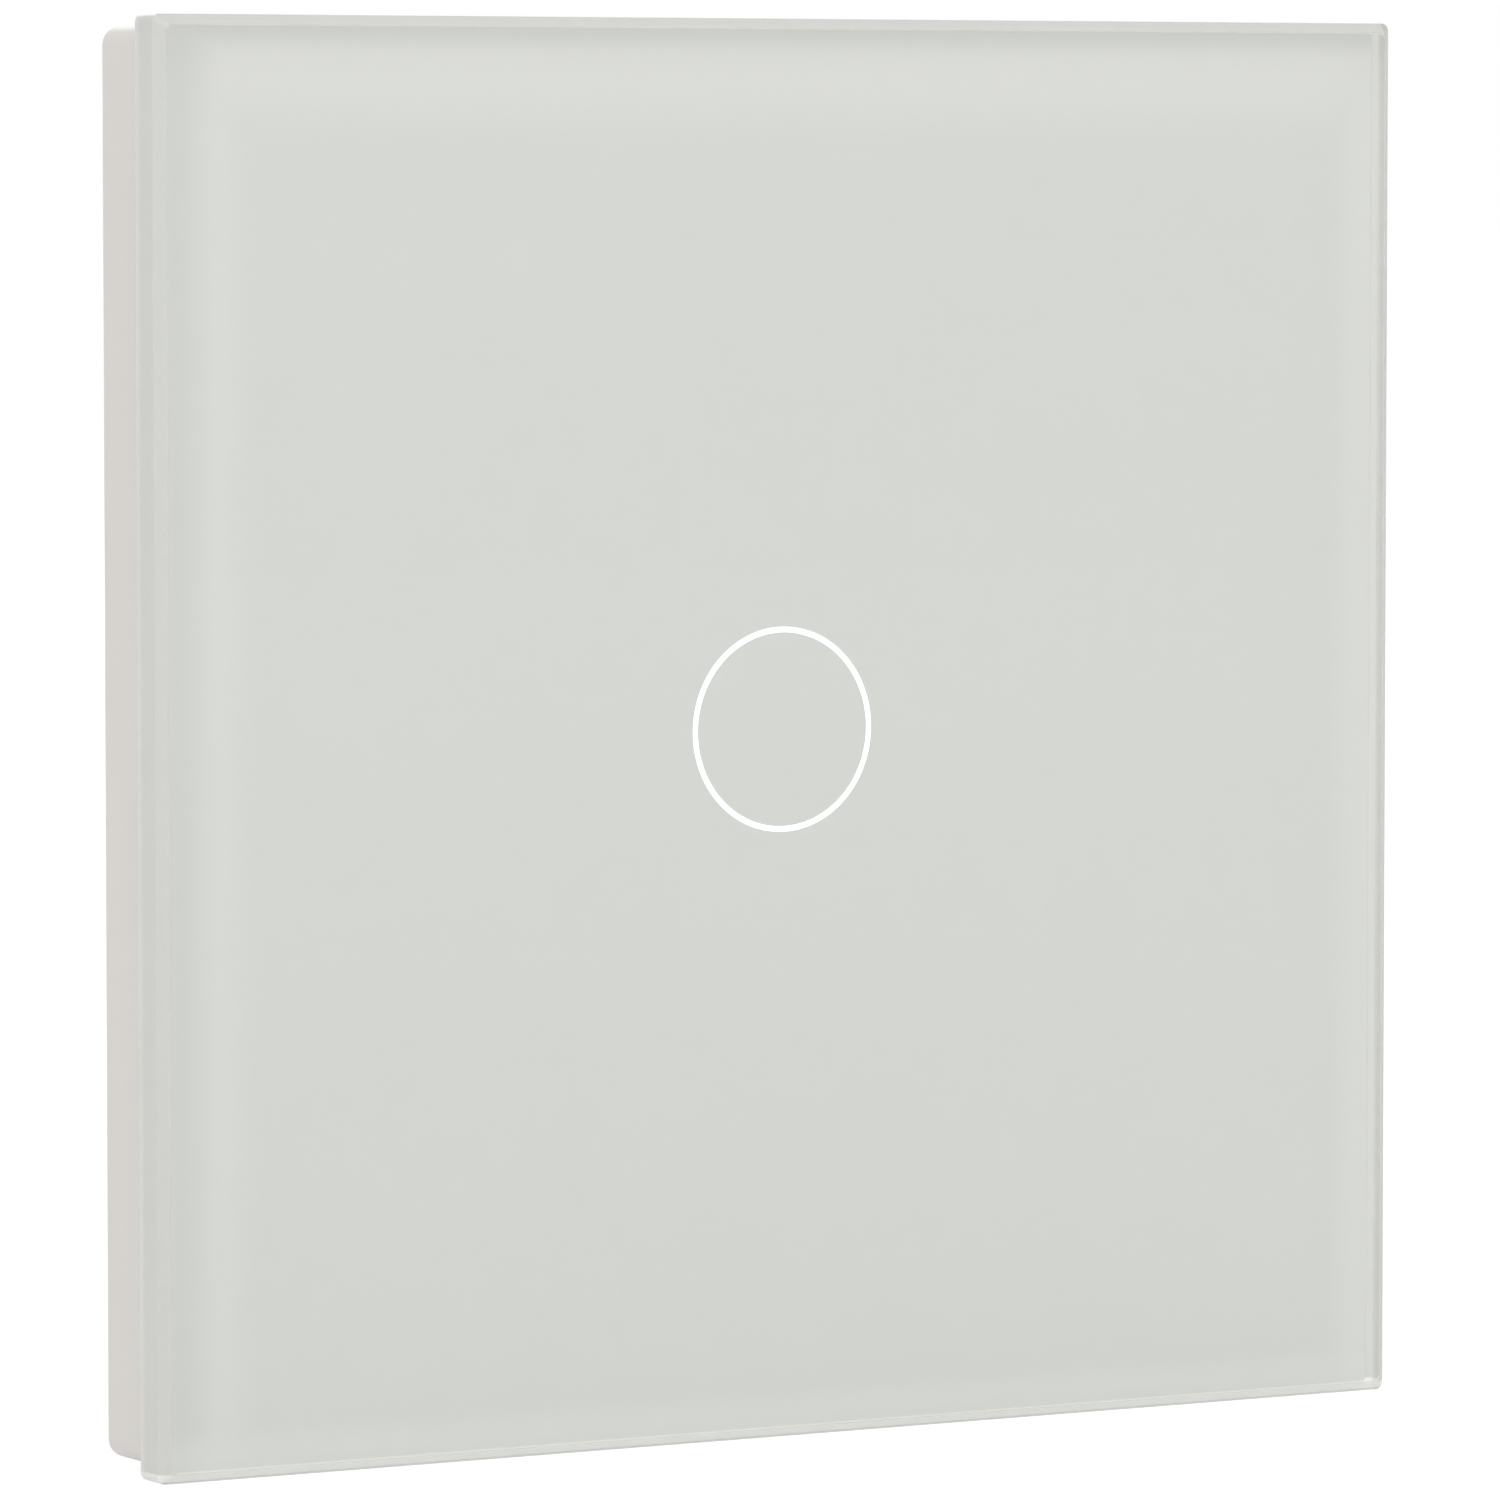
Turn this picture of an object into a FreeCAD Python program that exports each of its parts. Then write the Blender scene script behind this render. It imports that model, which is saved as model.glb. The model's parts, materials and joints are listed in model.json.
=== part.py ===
import FreeCAD, Part
import math
import os

# A one-gang touch light switch for a round 60 mm wall box, in millimetres.
# X is to the right as the user faces the switch, Z is up and Y points into the wall.
# The origin is on the wall's surface, at the centre of the four fixing slots.

Vector = FreeCAD.Vector
NORMAL = Vector(0, 1, 0)

# Glass plate, whose side follows from the frame behind it
glass_overhang = 0.6
glass_thickness = 3.0
glass_corner_radius = 0.8
glass_bevel = 0.6
glass_arris = 0.3

# White print on the back of the glass, with its lit ring
print_inset = 0.4
print_thickness = 0.1
print_seam = 0.02
ring_diameter = 11.8
ring_line_width = 0.45

# Plastic frame behind the glass, which surrounds the mounting plate
frame_depth = 5.5
frame_wall = 2.0
frame_to_plate = 1.9
frame_ledge = 1.6
frame_corner_radius = 1.0
frame_rear_round = 0.8
frame_wall_gap = 0.3
frame_to_module = 1.0
frame_rib_width = 0.8
frame_rib_pitch = 12.0
frame_rib_clearance = 0.4
seat_pad_radius = 1.8
seat_pad_setback = 2.5
pry_notch_width = 10.0
pry_notch_depth = 1.6

# Adhesive tape in a recess of the frame
tape_thickness = 0.2
tape_width = 6.0
tape_setback = 1.4
tape_clearance = 0.15

# Tongues of the frame that grip the module's sides
tongue_width = 8.0
tongue_thickness = 1.6
tongue_offset = 14.0
tongue_clearance = 0.15
tongue_lead_in = 0.5
tongue_end_gap = 0.4
guide_rib_width = 0.8
guide_rib_clearance = 0.2

# Steel mounting plate, as wide as its slots need
fixing_spacing = 60.0
slot_length = 6.5
slot_width = 3.8
slot_to_edge = 2.25
plate_thickness = 1.2
plate_corner_radius = 3.0
window_to_box = 3.4
window_to_screw = 1.65

# Countersunk screws through the plate into the power box
case_screw_diameter = 2.5
case_screw_head_diameter = 4.6
case_screw_length = 8.0
screw_clearance = 0.05
driver_slot_width = 0.6
driver_slot_depth = 0.5

# Module tray in front of the plate, between the heads of the wall screws
fixing_head_room = 8.0
module_wall = 1.2
module_floor = 1.0
module_rim_gap = 0.6
module_corner_radius = 2.0
module_opening_inset = 2.0
board_ledge_width = 1.2
board_ledge_height = 0.3
board_side_clearance = 0.3
catch_width = 4.0
catch_height = 0.4
catch_reach = 0.5
catch_clearance = 0.06
hook_width = 6.0
hook_arm = 1.2
hook_clearance = 0.2
hook_reach = 0.9
hook_height = 1.3

# Touch board and what stands on it
touch_board_thickness = 1.0
touch_board_corner_radius = 1.0
guide_cover = 1.3
guide_inner_cover = 1.05
guide_groove_width = 1.7
guide_groove_depth = 1.1
guide_clearance = 0.1
led_length = 1.6
led_width = 0.8
led_height = 0.7
led_count = 4
spring_to_guide = 1.0
spring_wire = 0.4
spring_turns = 2.0
spring_clearance = 0.1
touch_chip_length = 5.0
touch_chip_width = 4.0
touch_chip_height = 1.5
touch_chip_x = 13.0
touch_chip_z = -12.0
resistor_length = 1.6
resistor_width = 0.8
resistor_height = 0.6
resistor_pitch = 2.2
resistor_count = 6
resistor_row_x = 8.0
resistor_row_z = -17.5

# Header between the two boards
pin_count = 5
pin_pitch = 2.54
pin_side = 0.64
pin_clearance = 0.13
header_to_opening = 1.7
header_width = 2.6
header_strip_height = 2.5
header_pin_tip_cover = 1.2
header_pin_setback = 0.2

# Power box
box_side = 50.0
box_corner_cut = 11.0
box_wall = 1.6
box_rear_wall = 2.0
box_head_room = 1.9
box_edge_round = 1.0
boss_diameter = 4.8
boss_length = 9.0
boss_sink = 0.2
post_to_wall = 1.7
post_diameter = 4.4
vent_count = 5
vent_width = 1.2
vent_length = 9.0
vent_pitch = 3.0
mark_height = 3.0
mark_stroke = 0.6
mark_relief = 0.3
mark_gap = 2.2

# Power board
power_board_y = 5.0
power_board_thickness = 1.6
board_edge_clearance = 0.5
boss_notch_clearance = 0.4
board_screw_diameter = 1.9
board_screw_length = 8.0
board_screw_head_diameter = 3.6
board_screw_head_height = 1.3
lead_diameter = 0.7
lead_hole_clearance = 0.1
lead_tail = 0.8

# Terminals
terminal_spacing = 15.0
terminal_screw_diameter = 3.5
terminal_head_diameter = 5.8
terminal_head_height = 2.3
terminal_head_sink = 1.7
terminal_hole_clearance = 0.4
terminal_running_clearance = 0.05
clamp_width = 8.0
clamp_depth = 6.8
clamp_side = 0.9
clamp_floor = 1.0
clamp_nut = 1.6
clamp_travel = 2.4
clamp_end_gap = 0.4
clamp_front_gap = 0.8
bar_width = 5.4
bar_thickness = 0.8
bar_leg_width = 3.0
bar_leg_setback = 0.9
bar_slot_clearance = 0.15
tip_gap = 0.2
wire_space = 3.8
wire_bore_diameter = 3.2
wire_boss_side = 6.8
wire_boss_depth = 2.4
guide_wall = 1.0
guide_wall_clearance = 0.3
guide_wall_start_gap = 1.8

# Relay
relay_length = 19.0
relay_width = 15.5
relay_height = 15.5
relay_base_height = 1.8
relay_shell = 0.8
relay_z = 5.5
yoke_end_gap = 1.3
yoke_thickness = 1.0
yoke_width = 8.0
yoke_foot_spare = 0.6
core_diameter = 3.6
pole_diameter = 6.0
pole_thickness = 0.6
core_clearance = 0.05
bobbin_to_yoke = 0.8
bobbin_to_contact = 1.2
bobbin_flange = 0.8
bobbin_tube_wall = 0.7
bobbin_foot_gap = 0.1
coil_inset = 0.3
armature_thickness = 0.8
armature_width = 7.0
armature_room = 2.7
armature_past_pole = 1.8
armature_rear_overhang = 0.2
armature_gap = 0.1
armature_angle = 3.5
pivot_setback = 0.5
blade_thickness = 0.2
blade_width = 4.0
blade_start = 1.4
blade_end_gap = 0.4
contact_setback = 1.4
contact_diameter = 2.4
contact_thickness = 0.65
contact_gap = 0.1
fixed_strip_end_gap = 0.3
fixed_strip_thickness = 0.6
fixed_strip_width = 4.0
fixed_tab_length = 2.8
relay_pin_side = 0.8

# Other parts on the power board, placed round the relay
part_gap = 1.5
film_to_boss = 0.4
film_length = 13.0
film_width = 6.0
film_height = 12.4
film_round = 0.8
film_lead_pitch = 10.0
can_gap = 1.3
can_z = -6.5
can_diameter = 8.0
can_height = 12.0
can_groove = 0.3
can_groove_height = 1.6
can_lead_pitch = 2.5
varistor_z = 5.5
varistor_diameter = 7.6
varistor_thickness = 3.6
varistor_standoff = 0.6
varistor_lead_pitch = 5.0
fuse_gap = 1.6
fuse_z = 8.5
fuse_diameter = 3.2
fuse_length = 6.0
fuse_standoff = 0.4
fuse_lead_pitch = 8.4
fuse_wire_diameter = 0.9
choke_gap = 0.55
choke_diameter = 6.4
choke_height = 6.0
choke_flange = 1.0
choke_core_diameter = 3.6
choke_winding_diameter = 5.8
rectifier_inset = 2.4
rectifier_z = 6.0
rectifier_length = 4.7
rectifier_width = 4.0
regulator_inset = 4.3
regulator_z = -3.0
regulator_length = 5.0
regulator_width = 4.0
chip_height = 1.6

# Levels along Y that follow from the sizes
frame_rear_y = -frame_wall_gap
frame_front_y = frame_rear_y - frame_depth
ledge_rear_y = frame_front_y + frame_ledge
glass_rear_y = frame_front_y - print_thickness
glass_front_y = glass_rear_y - glass_thickness
plate_front_y = -plate_thickness
module_floor_y = plate_front_y - module_floor
touch_board_rear_y = module_floor_y - board_ledge_height
touch_board_y = touch_board_rear_y - touch_board_thickness
module_rim_y = frame_front_y + module_rim_gap
power_board_rear_y = power_board_y + power_board_thickness
box_rear_inner_y = power_board_rear_y + relay_height + box_head_room
box_depth = box_rear_inner_y + box_rear_wall
lead_tip_y = power_board_y - lead_tail
header_seam_y = power_board_y - header_strip_height
header_pin_tip_y = touch_board_rear_y + header_pin_tip_cover

# Half sizes in the plane of the wall
plate_half = (fixing_spacing + slot_length) / 2 + slot_to_edge
frame_inner_half = plate_half + frame_to_plate
frame_half = frame_inner_half + frame_wall
glass_half = frame_half + glass_overhang
module_half = (fixing_spacing - fixing_head_room) / 2
module_inner_half = module_half - module_wall
frame_opening_half = module_half + frame_to_module
touch_board_half = module_inner_half - board_side_clearance
box_half = box_side / 2
box_inner_half = box_half - box_wall
power_board_half = box_inner_half - board_edge_clearance
window_half = box_inner_half - window_to_box
module_opening_half = window_half - module_opening_inset
post_offset = box_inner_half - post_to_wall - post_diameter / 2

# Places of the case screws, in bosses against the box's slanted walls, and the window between them
slant = math.sqrt(2)
box_inner_reach = box_side - box_corner_cut - slant * box_wall
case_screw_offset = (box_inner_reach - slant * (boss_diameter / 2 - boss_sink)) / 2
window_reach = 2 * case_screw_offset - slant * (case_screw_head_diameter / 2 + window_to_screw)
window_corner_cut = 2 * window_half - window_reach

# Places on the touch board
guide_outer_diameter = ring_diameter + 2 * guide_cover
guide_inner_diameter = ring_diameter - 2 * (ring_line_width + guide_inner_cover)
spring_diameter = guide_inner_diameter - 2 * spring_to_guide
header_z = module_opening_half - header_to_opening - header_width / 2

# Terminal levels, from the screw head inwards, and places behind the wire bores
terminal_head_top_y = box_depth - terminal_head_sink
terminal_head_y = terminal_head_top_y - terminal_head_height
clamp_nut_top_y = terminal_head_y - clamp_end_gap - clamp_travel
clamp_nut_y = clamp_nut_top_y - clamp_nut
clamp_opening = wire_space + bar_thickness + clamp_travel + clamp_end_gap
clamp_floor_top_y = clamp_nut_y - clamp_opening
clamp_floor_y = clamp_floor_top_y - clamp_floor
bar_y = clamp_floor_top_y + wire_space
bar_rear_y = bar_y + bar_thickness
screw_tip_y = bar_rear_y + tip_gap
wire_y = clamp_floor_top_y + wire_space / 2
terminal_screw_z = -(box_inner_half - wire_boss_depth - clamp_front_gap - clamp_depth / 2)
clamp_front_z = terminal_screw_z - clamp_depth / 2
clamp_rear_z = terminal_screw_z + clamp_depth / 2
bar_leg_z = clamp_rear_z + clamp_depth / 2 + bar_leg_setback
terminal_xs = {"line": -terminal_spacing / 2, "load": terminal_spacing / 2}

# Relay levels and places
relay_seat_y = power_board_rear_y + relay_base_height
relay_top_y = power_board_rear_y + relay_height
yoke_foot_y = relay_seat_y + yoke_thickness
yoke_top_y = relay_top_y - relay_shell - armature_room
yoke_x = -(relay_length / 2 - relay_shell - yoke_end_gap)
fixed_strip_x = relay_length / 2 - relay_shell - fixed_strip_end_gap
bobbin_start_x = yoke_x + yoke_thickness + bobbin_to_yoke
bobbin_flange_side = fixed_strip_x - fixed_tab_length - bobbin_to_contact - bobbin_start_x
coil_diameter = bobbin_flange_side - 2 * coil_inset
core_x = bobbin_start_x + bobbin_flange_side / 2
yoke_foot_x = core_x + bobbin_flange_side / 2 + yoke_foot_spare
armature_front_x = core_x + pole_diameter / 2 + armature_past_pole
blade_start_x = yoke_x + blade_start
blade_end_x = fixed_strip_x - blade_end_gap
contact_x = fixed_strip_x - contact_setback
armature_y = yoke_top_y + armature_gap
blade_y = armature_y + armature_thickness
contact_face_y = blade_y - contact_thickness
fixed_contact_y = contact_face_y - contact_gap
fixed_tab_y = fixed_contact_y - contact_thickness
pivot_x = yoke_x + pivot_setback
pivot_y = yoke_top_y + armature_gap / 2

# Places of the other parts on the power board
film_x = -(relay_length / 2 + part_gap + film_width / 2)
film_z = case_screw_offset - boss_diameter / 2 - film_to_boss - film_length / 2
can_x = relay_length / 2 + can_gap + can_diameter / 2
rectifier_x = film_x + rectifier_inset
regulator_x = can_x - regulator_inset
varistor_x = relay_length / 2 + part_gap + varistor_thickness / 2
fuse_x = varistor_x + varistor_thickness / 2 + fuse_gap + fuse_diameter / 2
choke_z = relay_z - relay_width / 2 - choke_gap - choke_diameter / 2


def box(x0, x1, y0, y1, z0, z1):
    """A block between two corners."""
    return Part.makeBox(x1 - x0, y1 - y0, z1 - z0, Vector(x0, y0, z0))


def block(x, z, x_size, z_size, y0, y1):
    """A block centred on a point of the wall plane."""
    return box(x - x_size / 2, x + x_size / 2, y0, y1, z - z_size / 2, z + z_size / 2)


def rod(diameter, x, z, y0, y1):
    """A cylinder along Y."""
    return Part.makeCylinder(diameter / 2, y1 - y0, Vector(x, y0, z), NORMAL)


def ring(outer, inner, x, z, y0, y1):
    """A flat ring or tube along Y, given by its two diameters."""
    return rod(outer, x, z, y0, y1).cut(rod(inner, x, z, y0, y1))


def cone(rear_diameter, front_diameter, x, z, y0, y1):
    """A cone along Y that is front_diameter wide at y0 and rear_diameter wide at y1."""
    return Part.makeCone(front_diameter / 2, rear_diameter / 2, y1 - y0, Vector(x, y0, z), NORMAL)


def prism(points, y0, y1):
    """A straight prism along Y through a list of (x, z) points."""
    corners = [Vector(x, y0, z) for x, z in points]
    face = Part.Face(Part.makePolygon(corners + corners[:1]))
    return face.extrude(Vector(0, y1 - y0, 0))


def octagon(half, cut, y0, y1):
    """A square prism whose four corners are cut off at 45 degrees."""
    near = half - cut
    points = [
        (half, -near), (half, near), (near, half), (-near, half),
        (-half, near), (-half, -near), (-near, -half), (near, -half),
    ]
    return prism(points, y0, y1)


def inset_cut(cut, distance):
    """The corner cut of an octagon whose walls have all moved inwards by one distance."""
    return cut - distance * (2 - slant)


def lies_along_y(edge):
    bounds = edge.BoundBox
    return bounds.XLength < 0.001 and bounds.ZLength < 0.001


def edges_at_y(shape, y):
    """The edges that lie wholly in one plane across Y."""
    return [e for e in shape.Edges if abs(e.BoundBox.YMin - y) < 0.001 and abs(e.BoundBox.YMax - y) < 0.001]


def rounded_square(half, radius, y0, y1):
    """A square prism with its four long edges rounded."""
    shape = box(-half, half, y0, y1, -half, half)
    return shape.makeFillet(radius, [e for e in shape.Edges if lies_along_y(e)])


def turned(shape, degrees, x=0.0, z=0.0):
    """A copy turned about an axis along Y."""
    copy = shape.copy()
    copy.rotate(Vector(x, 0, z), NORMAL, degrees)
    return copy


def four_sides(shapes):
    """Copies on all four sides of the square."""
    return [turned(shape, quarter * 90) for shape in shapes for quarter in range(4)]


def corners(offset):
    """The four points at one distance from both centre lines."""
    return [(sx * offset, sz * offset) for sx in (-1, 1) for sz in (-1, 1)]


def joined(shapes):
    """One solid from shapes that overlap or touch."""
    return shapes[0].fuse(shapes[1:]).removeSplitter()


def group(shapes):
    """Separate solids that share one node."""
    return Part.makeCompound(shapes)


def make_glass_panel():
    plate = rounded_square(glass_half, glass_corner_radius, glass_front_y, glass_rear_y)
    plate = plate.makeChamfer(glass_bevel, edges_at_y(plate, glass_front_y))
    return plate.makeChamfer(glass_arris, edges_at_y(plate, glass_rear_y))


def make_printed_backing():
    half = glass_half - print_inset
    sheet = rounded_square(half, glass_corner_radius, glass_rear_y, frame_front_y)
    outside = sheet.cut(rod(ring_diameter, 0, 0, glass_rear_y, frame_front_y))
    inside = rod(ring_diameter - 2 * ring_line_width, 0, 0, glass_rear_y, frame_front_y)
    return group([outside, inside])


def make_ring_window():
    outer = ring_diameter - 2 * print_seam
    inner = ring_diameter - 2 * ring_line_width + 2 * print_seam
    return ring(outer, inner, 0, 0, glass_rear_y, frame_front_y)


def tape_shape(clearance):
    """The square loop of tape, or with a clearance the recess that holds it."""
    outer = frame_half - tape_setback + clearance
    inner = frame_half - tape_setback - tape_width - clearance
    floor_y = frame_front_y + tape_thickness
    return box(-outer, outer, frame_front_y, floor_y, -outer, outer).cut(
        box(-inner, inner, frame_front_y, floor_y, -inner, inner)
    )


def make_bond_tape():
    return tape_shape(0)


def frame_ribs():
    """Stiffening ribs across the back of the ledge."""
    start = frame_opening_half + tongue_thickness
    rear = plate_front_y - frame_rib_clearance
    ribs = []
    for step in (-2, -1, 1, 2):
        z = step * frame_rib_pitch
        ribs.append(block((start + frame_inner_half) / 2, z, frame_inner_half - start + frame_wall,
                          frame_rib_width, ledge_rear_y - frame_ledge / 2, rear))
    return four_sides(ribs)


def frame_tongues():
    """Four tongues that slide along the module's left and right sides."""
    inner = module_half + tongue_clearance
    rear = plate_front_y - tongue_end_gap
    tongues = []
    for side in (-1, 1):
        for end in (-1, 1):
            x = side * (inner + tongue_thickness / 2)
            tongue = block(x, end * tongue_offset, tongue_thickness, tongue_width, frame_front_y, rear)
            lead_in = [e for e in edges_at_y(tongue, rear) if abs(abs(e.CenterOfMass.x) - inner) < 0.001]
            tongues.append(tongue.makeChamfer(tongue_lead_in, lead_in))
    return tongues


def make_cover_frame():
    shell = rounded_square(frame_half, frame_corner_radius, frame_front_y, frame_rear_y)
    shell = shell.makeFillet(frame_rear_round, edges_at_y(shell, frame_rear_y))
    hollow = box(-frame_inner_half, frame_inner_half, ledge_rear_y, frame_rear_y,
                 -frame_inner_half, frame_inner_half)
    opening = rounded_square(frame_opening_half, module_corner_radius, frame_front_y, ledge_rear_y)
    shell = shell.cut([hollow, opening, tape_shape(tape_clearance)])
    pad_offset = plate_half - seat_pad_setback
    pads = [rod(2 * seat_pad_radius, x, z, ledge_rear_y, plate_front_y) for x, z in corners(pad_offset)]
    frame = joined([shell] + frame_ribs() + frame_tongues() + pads)
    notch_y = frame_rear_y - pry_notch_depth
    notch = block(0, -frame_half, pry_notch_width, 3 * frame_wall, notch_y, frame_rear_y)
    return frame.cut(notch)


def make_mounting_plate():
    plate = rounded_square(plate_half, plate_corner_radius, plate_front_y, 0)
    window = octagon(window_half, window_corner_cut, plate_front_y, 0)
    slot = block(fixing_spacing / 2, 0, slot_length - slot_width, slot_width, plate_front_y, 0)
    end_offset = (slot_length - slot_width) / 2
    slot_ends = [rod(slot_width, fixing_spacing / 2 + end, 0, plate_front_y, 0)
                 for end in (-end_offset, end_offset)]
    slots = four_sides([joined([slot] + slot_ends)])
    return plate.cut([window] + slots + [case_screw_shape(x, z, screw_clearance)
                                         for x, z in corners(case_screw_offset)])


def case_screw_shape(x, z, clearance):
    """A countersunk screw, or with a clearance the hole that it needs."""
    head = case_screw_head_diameter + 2 * clearance
    shank = case_screw_diameter + 2 * clearance
    cone_height = (case_screw_head_diameter - case_screw_diameter) / 2
    sunk = cone(shank, head, x, z, plate_front_y, plate_front_y + cone_height)
    stem = rod(shank, x, z, plate_front_y, plate_front_y + case_screw_length + clearance)
    return joined([sunk, stem])


def cross_slot(x, z, y, length):
    """A cross recess for a screwdriver, sunk from the plane y towards its end."""
    depth = math.copysign(driver_slot_depth, length)
    low, high = sorted((y, y + depth))
    arms = [block(x, z, abs(length), driver_slot_width, low, high),
            block(x, z, driver_slot_width, abs(length), low, high)]
    return joined(arms)


def make_case_screws():
    recess = case_screw_head_diameter * 0.6
    return group([case_screw_shape(x, z, 0).cut(cross_slot(x, z, plate_front_y, recess))
                  for x, z in corners(case_screw_offset)])


def module_hooks():
    """Snap hooks that hold the tray in the plate's window."""
    outer = window_half - hook_clearance
    arm = block(outer - hook_arm / 2, 0, hook_arm, hook_width, module_floor_y, hook_height)
    barb_points = [(outer - hook_arm / 2, hook_clearance), (outer + hook_reach, hook_clearance),
                   (outer, hook_height), (outer - hook_arm / 2, hook_height)]
    corners_3d = [Vector(x, y, -hook_width / 2) for x, y in barb_points]
    barb = Part.Face(Part.makePolygon(corners_3d + corners_3d[:1])).extrude(Vector(0, 0, hook_width))
    return four_sides([joined([arm, barb])])


def module_guides():
    """Ribs that guide the cover's tongues."""
    height = frame_to_module - guide_rib_clearance
    offset = tongue_width / 2 + guide_rib_clearance + guide_rib_width / 2
    ribs = []
    for side in (-1, 1):
        for end in (-1, 1):
            for edge in (-1, 1):
                z = end * tongue_offset + edge * offset
                x = side * (module_half + height / 2 - module_wall / 4)
                ribs.append(block(x, z, height + module_wall / 2, guide_rib_width,
                                  module_rim_y, plate_front_y))
    return ribs


def make_module_frame():
    tray = rounded_square(module_half, module_corner_radius, module_rim_y, plate_front_y)
    inner_radius = max(module_corner_radius - module_wall, 0.2)
    tray = tray.cut(rounded_square(module_inner_half, inner_radius, module_rim_y, module_floor_y))
    ledge_inner = module_inner_half - board_ledge_width
    ledge = box(-module_inner_half, module_inner_half, touch_board_rear_y, module_floor_y,
                -module_inner_half, module_inner_half)
    ledge = ledge.cut(box(-ledge_inner, ledge_inner, touch_board_rear_y, module_floor_y,
                          -ledge_inner, ledge_inner))
    catch_y = touch_board_y - catch_clearance
    catch = block(module_inner_half, 0, 2 * catch_reach, catch_width, catch_y - catch_height, catch_y)
    tray = joined([tray, ledge] + module_guides() + four_sides([catch]))
    cut = inset_cut(window_corner_cut, module_opening_inset)
    tray = tray.cut(octagon(module_opening_half, cut, module_floor_y, plate_front_y))
    return joined([tray] + module_hooks())


def make_touch_board():
    return rounded_square(touch_board_half, touch_board_corner_radius, touch_board_y, touch_board_rear_y)


def make_light_guide():
    rear = touch_board_y
    front = frame_front_y + guide_clearance
    body = ring(guide_outer_diameter, guide_inner_diameter, 0, 0, front, rear)
    middle = ring_diameter - ring_line_width
    groove = ring(middle + guide_groove_width, middle - guide_groove_width, 0, 0,
                  rear - guide_groove_depth, rear)
    return body.cut(groove)


def make_ring_leds():
    radius = (ring_diameter - ring_line_width) / 2
    lamp = block(radius, 0, led_width, led_length, touch_board_y - led_height, touch_board_y)
    turn = 360 / led_count
    return group([turned(lamp, turn * (index + 0.5)) for index in range(led_count)])


def arc_between(start, tangent, end):
    """The arc from start to end that leaves start along tangent."""
    chord = end - start
    along = Vector(chord).normalize()
    turn = math.acos(max(-1.0, min(1.0, tangent.dot(along))))
    outward = (tangent - along * tangent.dot(along)).normalize()
    middle = start + chord * 0.5 + outward * (chord.Length / 2 * math.tan(turn / 2))
    return Part.Arc(start, middle, end).toShape()


def helix_point(radius, rise_per_radian, angle, y0):
    return Vector(radius * math.cos(angle), y0 - rise_per_radian * angle, radius * math.sin(angle))


def helix_tangent(radius, rise_per_radian, angle):
    return Vector(-radius * math.sin(angle), -rise_per_radian, radius * math.cos(angle)).normalize()


def helix_path(radius, pitch, turns, y0):
    """A helix towards the user, made of two arcs for each quarter turn."""
    rise = pitch / (2 * math.pi)
    quarters = int(round(turns * 4))
    arcs = []
    for index in range(quarters):
        first = index * math.pi / 2
        last = first + math.pi / 2
        start, end = helix_point(radius, rise, first, y0), helix_point(radius, rise, last, y0)
        leave, arrive = helix_tangent(radius, rise, first), helix_tangent(radius, rise, last)
        span = end - start
        both = leave + arrive
        spread = 2 * (1 - leave.dot(arrive))
        reach = (-span.dot(both) + math.sqrt(span.dot(both) ** 2 + spread * span.dot(span))) / spread
        meeting = (start + leave * reach + end - arrive * reach) * 0.5
        arcs.append(arc_between(start, leave, meeting))
        arcs.append(arc_between(end, arrive * -1, meeting))
    return Part.Wire(Part.__sortEdges__(arcs))


def make_touch_spring():
    radius = (spring_diameter - spring_wire) / 2
    y0 = touch_board_y - spring_wire / 2
    y1 = frame_front_y + spring_clearance + spring_wire / 2
    pitch = (y0 - y1) / spring_turns
    rise = pitch / (2 * math.pi)
    path = helix_path(radius, pitch, spring_turns, y0)
    start = helix_point(radius, rise, 0, y0)
    circle = Part.Circle(start, helix_tangent(radius, rise, 0), spring_wire / 2)
    profile = Part.Wire([circle.toShape()])
    print("touch spring: least gap between turns", round(pitch - spring_wire, 3), "mm")
    return path.makePipeShell([profile], True, False)


def make_touch_chip():
    return block(touch_chip_x, touch_chip_z, touch_chip_length, touch_chip_width,
                 touch_board_y - touch_chip_height, touch_board_y)


def make_touch_resistors():
    row = []
    for index in range(resistor_count):
        x = resistor_row_x - index * resistor_pitch
        row.append(block(x, resistor_row_z, resistor_width, resistor_length,
                         touch_board_y - resistor_height, touch_board_y))
    return group(row)


def pin_xs():
    middle = (pin_count - 1) / 2
    return [(index - middle) * pin_pitch for index in range(pin_count)]


def header_block(y0, y1):
    """The plastic of the header, with square holes for the pins."""
    body = block(0, header_z, pin_count * pin_pitch, header_width, y0, y1)
    hole = pin_side + 2 * pin_clearance
    return body.cut([block(x, header_z, hole, hole, y0, y1) for x in pin_xs()])


def make_header_socket():
    return header_block(touch_board_rear_y, header_seam_y)


def make_header_strip():
    return header_block(header_seam_y, power_board_y)


def make_header_pins():
    rear = power_board_rear_y - header_pin_setback
    return group([block(x, header_z, pin_side, pin_side, header_pin_tip_y, rear) for x in pin_xs()])


def raised_bar(x, z, x_size, z_size):
    """One stroke of a raised mark on the back of the box."""
    return block(x, z, x_size, z_size, box_rear_inner_y, box_depth + mark_relief)


def letter_l(x, z):
    foot = mark_height * 0.55
    foot_x = x - (foot - mark_stroke) / 2
    foot_z = z - (mark_height - mark_stroke) / 2
    return [raised_bar(x, z, mark_stroke, mark_height), raised_bar(foot_x, foot_z, foot, mark_stroke)]


def digit_one(x, z):
    return [raised_bar(x, z - mark_height / 8, mark_stroke, mark_height * 0.75)]


def terminal_marks():
    """The letter L at the line terminal, and L1 at the load terminal, read from behind."""
    z = terminal_screw_z + terminal_head_diameter / 2 + mark_gap + mark_height / 2
    return (letter_l(terminal_xs["line"], z) + letter_l(terminal_xs["load"] + mark_height / 4, z)
            + digit_one(terminal_xs["load"] - mark_height * 0.55, z))


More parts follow.
